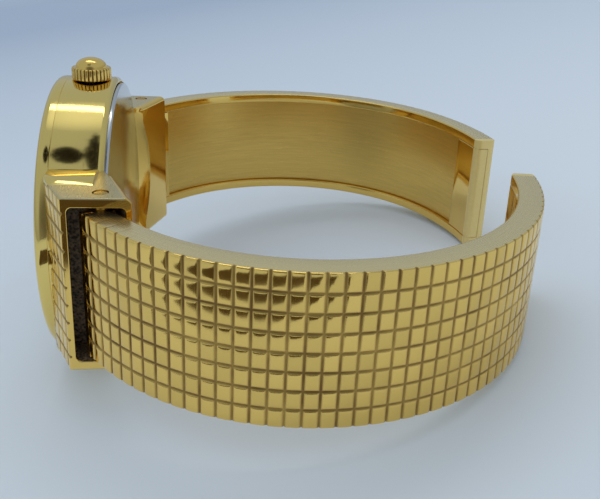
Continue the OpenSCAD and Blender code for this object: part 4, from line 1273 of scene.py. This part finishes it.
def build_crown():
    """The fluted crown with its domed end."""
    flute_segments, flute_half = 16, 0.24
    count = FLUTES * flute_segments
    phase = (even_angles(count) * FLUTES / (2 * math.pi)) % 1
    valley = np.clip(1 - np.abs(phase - 0.5) / flute_half, 0, 1)
    valley = valley * valley * (3 - 2 * valley)
    depth = sizes().flute_depth / MM
    base, top = CROWN_BASE, CROWN_BASE + FLUTE_H
    hollow_r, hollow_top = 1.3, base + 0.9
    # Radius, height, and how deep the flutes still are
    levels = [
        (hollow_r, hollow_top, 0.0), (hollow_r, base, 0.0), (1.62, base, 0.0), (CROWN_R - 0.06, base, 1.0),
        (CROWN_R, base + 0.07, 1.0), (CROWN_R, top - 0.12, 1.0), (CROWN_R - 0.04, top - 0.04, 1.0),
        (CROWN_R - 0.1, top, 0.9), (CROWN_R - 0.24, top, 0.0), (DOME_R + 0.03, top - 0.02, 0.0),
    ]
    levels += [
        (DOME_R * math.cos(a), top + DOME_H * math.sin(a), 0.0) for a in np.radians(np.linspace(4, 88, 15))
    ]
    levels += [(AXIS_R, top + DOME_H, 0.0), (AXIS_R, hollow_top, 0.0)]
    profile = [(radius - depth * valley * share, height) for radius, height, share in levels]
    points, faces = lathe(profile, crown_level, count)
    worn = np.concatenate([valley * share for _, _, share in levels])
    return make_piece(
        "crown_knob", points, faces, "crown_and_stem", ["patterned_gold"], ["crown"],
        values={"groove": worn, "tone": np.full(len(worn), 0.7)},
    )


def dress_solids():
    """Gives every solid that still shows its finish, and soft edges.

    The room's light reaches the dial as if the crystal weren't there.
    """
    slots = {sub["node"]: sub["material_slot"] for sub in frame["record"]["subparts"]}
    for name, solid in frame["nodes"].items():
        finish = slots[name]
        if finish == "dial_white":
            continue
        if finish in ("patterned_gold", "brushed_gold"):
            finish = "polished_gold"
        solid.data.materials.clear()
        solid.data.materials.append(MATERIALS[finish])
        if name == "crystal":
            solid.visible_diffuse = False
            solid.visible_shadow = False
        if name in SOFTENED:
            weld = solid.modifiers.new("weld", "WELD")
            weld.merge_threshold = MICRON
            bevel = solid.modifiers.new("soft_edges", "BEVEL")
            bevel.width = SOFTENED[name] * MM
            bevel.segments = 2
            bevel.limit_method = "ANGLE"
            bevel.angle_limit = SOFTEN_ANGLE


# Stage


def stage_sheet(name, corners, finish_name):
    """A flat sheet of the stage, and the tree, shader and place of its blank finish."""
    mesh = bpy.data.meshes.new(name)
    mesh.from_pydata(corners, [], [(0, 1, 2, 3)])
    sheet = linked(name, mesh)
    material, tree, shader, place = blank_material(finish_name)
    mesh.materials.append(material)
    return sheet, tree, shader, place


def build_painted_shade_sheet():
    """A dark sheet on the table in front, that only reflections see: painted dark reflections in the arms'
    squares.
    """
    level = 0.001
    spots = ((-0.075, -0.115), (0.012, -0.115), (0.0, -0.062), (-0.065, -0.045))
    corners = [(x, y, level) for x, y in spots]
    sheet, tree, shader, place = stage_sheet("painted_shade_sheet", corners, "painted_shade_sheet")
    # Its brown-black colour is painted shade, seen only in the reflections of the gold
    colour = (0.12, 0.08, 0.04)
    sheet_mottle = noise(tree, place, Scale=60.0, Detail=2.0)
    tree.links.new(mix_colour(tree, sheet_mottle, times(colour, 0.5), colour), shader.inputs["Base Color"])
    shader.inputs["Roughness"].default_value = 1
    shader.inputs["Specular IOR Level"].default_value = 0
    sheet.visible_camera = False
    sheet.visible_diffuse = False
    sheet.visible_shadow = False
    sheet.visible_transmission = False


def build_floor():
    """A wide floor with a faint paper grain, painted shade that darkens it to the back left, and alike with the
    sky far off.
    """
    reach = 4.0
    corners = [(-reach, -reach, 0), (reach, -reach, 0), (reach, reach, 0), (-reach, reach, 0)]
    floor, tree, shader, place = stage_sheet("floor", corners, "floor_paper")
    colour = list(colours().floor)
    mottle = noise(tree, place, Scale=18.0, Detail=3.0)
    shown = mix_colour(tree, mottle, times(colour, 0.985), colour)
    # Painted shade: the paper's colour darkens to the back left, standing in for the light falling off there
    across, back, _ = split_axes(tree, place)
    leftward_share = math_node(tree, "MULTIPLY", across, -0.45)
    falloff_share = map_range(tree, math_node(tree, "ADD", back, leftward_share), 0.0, 0.33, 0.0, 1.0)
    falloff_shade = [c * f for c, f in zip(colour, (0.56, 0.62, 0.72))]
    shown = mix_colour(tree, falloff_share, shown, falloff_shade)
    distance = node(tree, "ShaderNodeVectorMath", operation="LENGTH")
    tree.links.new(place, distance.inputs[0])
    beyond = map_range(tree, distance.outputs["Value"], 0.42, 0.9, 0.0, 1.0)
    shown = mix_colour(tree, beyond, shown, HORIZON_PAPER)
    tree.links.new(shown, shader.inputs["Base Color"])
    shader.inputs["Roughness"].default_value = 0.85
    shader.inputs["Specular IOR Level"].default_value = 0.15


def sky_patch(tree, view, toward, inner, outer):
    """A soft round mask about a direction of the sky, between two angles in degrees."""
    near = node(tree, "ShaderNodeVectorMath", operation="DOT_PRODUCT")
    tree.links.new(view, near.inputs[0])
    near.inputs[1].default_value = Vector(toward).normalized()
    full, none = math.cos(math.radians(inner)), math.cos(math.radians(outer))
    return map_range(tree, near.outputs["Value"], none, full, 0.0, 1.0)


def painted_blot(tree, slopes, spread, middle, half):
    """A ragged oval mask of a painted dark reflection overhead, from the slopes of the rays."""
    parts = []
    for value, centre, reach in zip(slopes, middle, half):
        scaled = math_node(tree, "DIVIDE", math_node(tree, "SUBTRACT", value, centre), reach)
        parts.append(math_node(tree, "MULTIPLY", scaled, scaled))
    ragged = math_node(tree, "ADD", math_node(tree, "ADD", *parts), spread)
    return map_range(tree, ragged, 0.85, 1.15, 1.0, 0.0)


def build_world():
    """An even sky that lights the floor, and a darker room for the gold's reflections alone: painted reflections,
    with painted dark patches and a painted highlight.
    """
    world = bpy.data.worlds.new("studio")
    bpy.context.scene.world = world
    world.use_nodes = True
    tree = world.node_tree
    view = tree.nodes.new("ShaderNodeTexCoord").outputs["Generated"]
    across, back, up = split_axes(tree, view)
    rise = math_node(tree, "MAXIMUM", up, 0.05)
    sideways = math_node(tree, "DIVIDE", across, rise)
    forward = math_node(tree, "DIVIDE", math_node(tree, "MULTIPLY", back, -1.0), rise)
    spread = map_range(tree, noise(tree, view, Scale=7.0, Detail=3.0), 0.3, 0.7, -0.35, 0.35)
    height = map_range(tree, up, 0.0, 0.4, 0.0, 1.0)
    # Only glossy rays see this room and it lights nothing: a painted reflection, darker towards the horizon
    room = mix_colour(tree, height, (0.30, 0.345, 0.40), (0.41, 0.48, 0.56))
    # Painted shade in the reflections, low on the near side
    shade = sky_patch(tree, view, (0.0, -1.0, 0.3), 12, 34)
    room = mix_colour(tree, math_node(tree, "MULTIPLY", shade, 0.8), room, (0.06, 0.05, 0.04))
    # A painted highlight near the lamp, seen only in reflections
    painted_highlight = sky_patch(tree, view, (0.02, 0.26, 1.0), 4, 17)
    room = mix_colour(tree, math_node(tree, "MULTIPLY", painted_highlight, 0.8), room, (0.95, 1.05, 1.15))
    # Two painted dark reflections overhead
    for middle, half in (((-0.085, 0.45), (0.11, 0.15)), ((0.095, 0.45), (0.06, 0.34))):
        blot = painted_blot(tree, (sideways, forward), spread, middle, half)
        room = mix_colour(tree, blot, room, (0.008, 0.007, 0.006))
    rays = tree.nodes.new("ShaderNodeLightPath")
    seen = mix_colour(tree, rays.outputs["Is Glossy Ray"], (0.74, 0.835, 0.94), room)
    seen = mix_colour(tree, rays.outputs["Is Camera Ray"], seen, HORIZON_SKY)
    backdrop = tree.nodes["Background"]
    tree.links.new(seen, backdrop.inputs["Color"])
    backdrop.inputs["Strength"].default_value = 1.0


def build_lamp():
    """One wide soft lamp over the far side."""
    lamp = bpy.data.lights.new("key", "AREA")
    lamp.shape = "RECTANGLE"
    lamp.size = 0.4
    lamp.size_y = 0.07
    lamp.energy = 0.25
    lamp.color = (1.0, 1.0, 1.0)
    key = linked("key", lamp)
    distance, elevation = 0.65, math.radians(70)
    key.location = Vector((0.05, distance * math.cos(elevation), distance * math.sin(elevation)))
    key.rotation_euler = (-key.location).to_track_quat("-Z", "Y").to_euler()


def build_camera():
    """The camera that was fitted to the photograph, in the level frame."""
    spot = (-1.8918, -82.2512, 32.4888)
    yaw, pitch, roll = 0.161294627, 0.363386473, 0.0661111886
    focal, width, height = 777.3231, 600.0, 499.0
    centre = (342.83, 204.85)
    ahead = Vector((math.sin(yaw) * math.cos(pitch), math.cos(yaw) * math.cos(pitch), -math.sin(pitch)))
    right = ahead.cross(Vector((0, 0, 1))).normalized()
    above = right.cross(ahead)
    turned_right = right * math.cos(roll) + above * math.sin(roll)
    turned_above = above * math.cos(roll) - right * math.sin(roll)
    data = bpy.data.cameras.new("camera")
    data.sensor_width = 36
    data.lens = focal * data.sensor_width / width
    data.shift_x = -(centre[0] - width / 2) / width
    data.shift_y = (centre[1] - height / 2) / width
    data.clip_start = 0.005
    data.clip_end = 20
    camera = linked("camera", data)
    axes = [direction(vector) for vector in (turned_right, turned_above, -ahead)]
    matrix = Matrix(axes).transposed().to_4x4()
    matrix.translation = Vector(placed([spot])[0])
    camera.matrix_world = matrix
    bpy.context.scene.camera = camera


# Operators


class CUFF_OT_finishes(bpy.types.Operator):
    """Make the finishes and put them on the solids"""

    bl_idname = "cuff_watch.finishes"
    bl_label = "Finishes"

    def execute(self, context):
        MATERIALS.update(make_materials())
        dress_solids()
        return {"FINISHED"}


class CUFF_OT_case(bpy.types.Operator):
    """Build the case band and its bolsters"""

    bl_idname = "cuff_watch.case"
    bl_label = "Case"

    def execute(self, context):
        build_case_band()
        build_bolsters()
        return {"FINISHED"}


class CUFF_OT_lugs(bpy.types.Operator):
    """Build the two hooded lugs"""

    bl_idname = "cuff_watch.lugs"
    bl_label = "Lugs"

    def execute(self, context):
        for far in (False, True):
            build_lug(far)
        return {"FINISHED"}


class CUFF_OT_bezel(bpy.types.Operator):
    """Build the bezel"""

    bl_idname = "cuff_watch.bezel"
    bl_label = "Bezel"

    def execute(self, context):
        build_bezel()
        return {"FINISHED"}


class CUFF_OT_case_back(bpy.types.Operator):
    """Build the case back"""

    bl_idname = "cuff_watch.case_back"
    bl_label = "Case Back"

    def execute(self, context):
        build_case_back()
        return {"FINISHED"}


class CUFF_OT_dial(bpy.types.Operator):
    """Build the dial"""

    bl_idname = "cuff_watch.dial"
    bl_label = "Dial"

    def execute(self, context):
        build_dial()
        return {"FINISHED"}


class CUFF_OT_crown(bpy.types.Operator):
    """Build the crown"""

    bl_idname = "cuff_watch.crown"
    bl_label = "Crown"

    def execute(self, context):
        build_crown()
        return {"FINISHED"}


class CUFF_OT_arms(bpy.types.Operator):
    """Build the two arms: channels, linings and end blocks"""

    bl_idname = "cuff_watch.arms"
    bl_label = "Arms"

    def execute(self, context):
        for far in (False, True):
            build_channel(far)
            build_lining(far)
            build_tip(far)
        return {"FINISHED"}


class CUFF_OT_pins(bpy.types.Operator):
    """Build the hinge pins"""

    bl_idname = "cuff_watch.pins"
    bl_label = "Pins"

    def execute(self, context):
        build_pins()
        return {"FINISHED"}


class CUFF_OT_stage(bpy.types.Operator):
    """Build the floor, the lights and the camera"""

    bl_idname = "cuff_watch.stage"
    bl_label = "Stage"

    def execute(self, context):
        context.scene.view_settings.view_transform = "Standard"
        build_floor()
        build_world()
        build_lamp()
        build_painted_shade_sheet()
        build_camera()
        return {"FINISHED"}


class CUFF_PT_panel(bpy.types.Panel):
    """Sizes, colours and the steps that build the watch"""

    bl_idname = "CUFF_PT_panel"
    bl_label = "Cuff Watch"
    bl_space_type = "VIEW_3D"
    bl_region_type = "UI"
    bl_category = "Cuff Watch"

    def draw(self, context):
        layout = self.layout
        for group in (context.scene.cuff_watch_sizes, context.scene.cuff_watch_colours):
            box = layout.box()
            for name in group.__annotations__:
                box.prop(group, name)
        for step in STEPS:
            layout.operator(step.bl_idname)


STEPS = (
    CUFF_OT_finishes, CUFF_OT_case, CUFF_OT_lugs, CUFF_OT_bezel, CUFF_OT_case_back, CUFF_OT_dial,
    CUFF_OT_crown, CUFF_OT_arms, CUFF_OT_pins, CUFF_OT_stage,
)
CLASSES = (CuffWatchSizes, CuffWatchColours, *STEPS, CUFF_PT_panel)


def register():
    for item in CLASSES:
        bpy.utils.register_class(item)
    bpy.types.Scene.cuff_watch_sizes = bpy.props.PointerProperty(type=CuffWatchSizes)
    bpy.types.Scene.cuff_watch_colours = bpy.props.PointerProperty(type=CuffWatchColours)


def unregister():
    del bpy.types.Scene.cuff_watch_colours
    del bpy.types.Scene.cuff_watch_sizes
    for item in reversed(CLASSES):
        bpy.utils.unregister_class(item)


def main():
    register()
    bpy.ops.cuff_watch.finishes()
    bpy.ops.cuff_watch.case()
    bpy.ops.cuff_watch.lugs()
    bpy.ops.cuff_watch.bezel()
    bpy.ops.cuff_watch.case_back()
    bpy.ops.cuff_watch.dial()
    bpy.ops.cuff_watch.crown()
    bpy.ops.cuff_watch.arms()
    bpy.ops.cuff_watch.pins()
    bpy.ops.cuff_watch.stage()


if __name__ == "__main__":
    main()
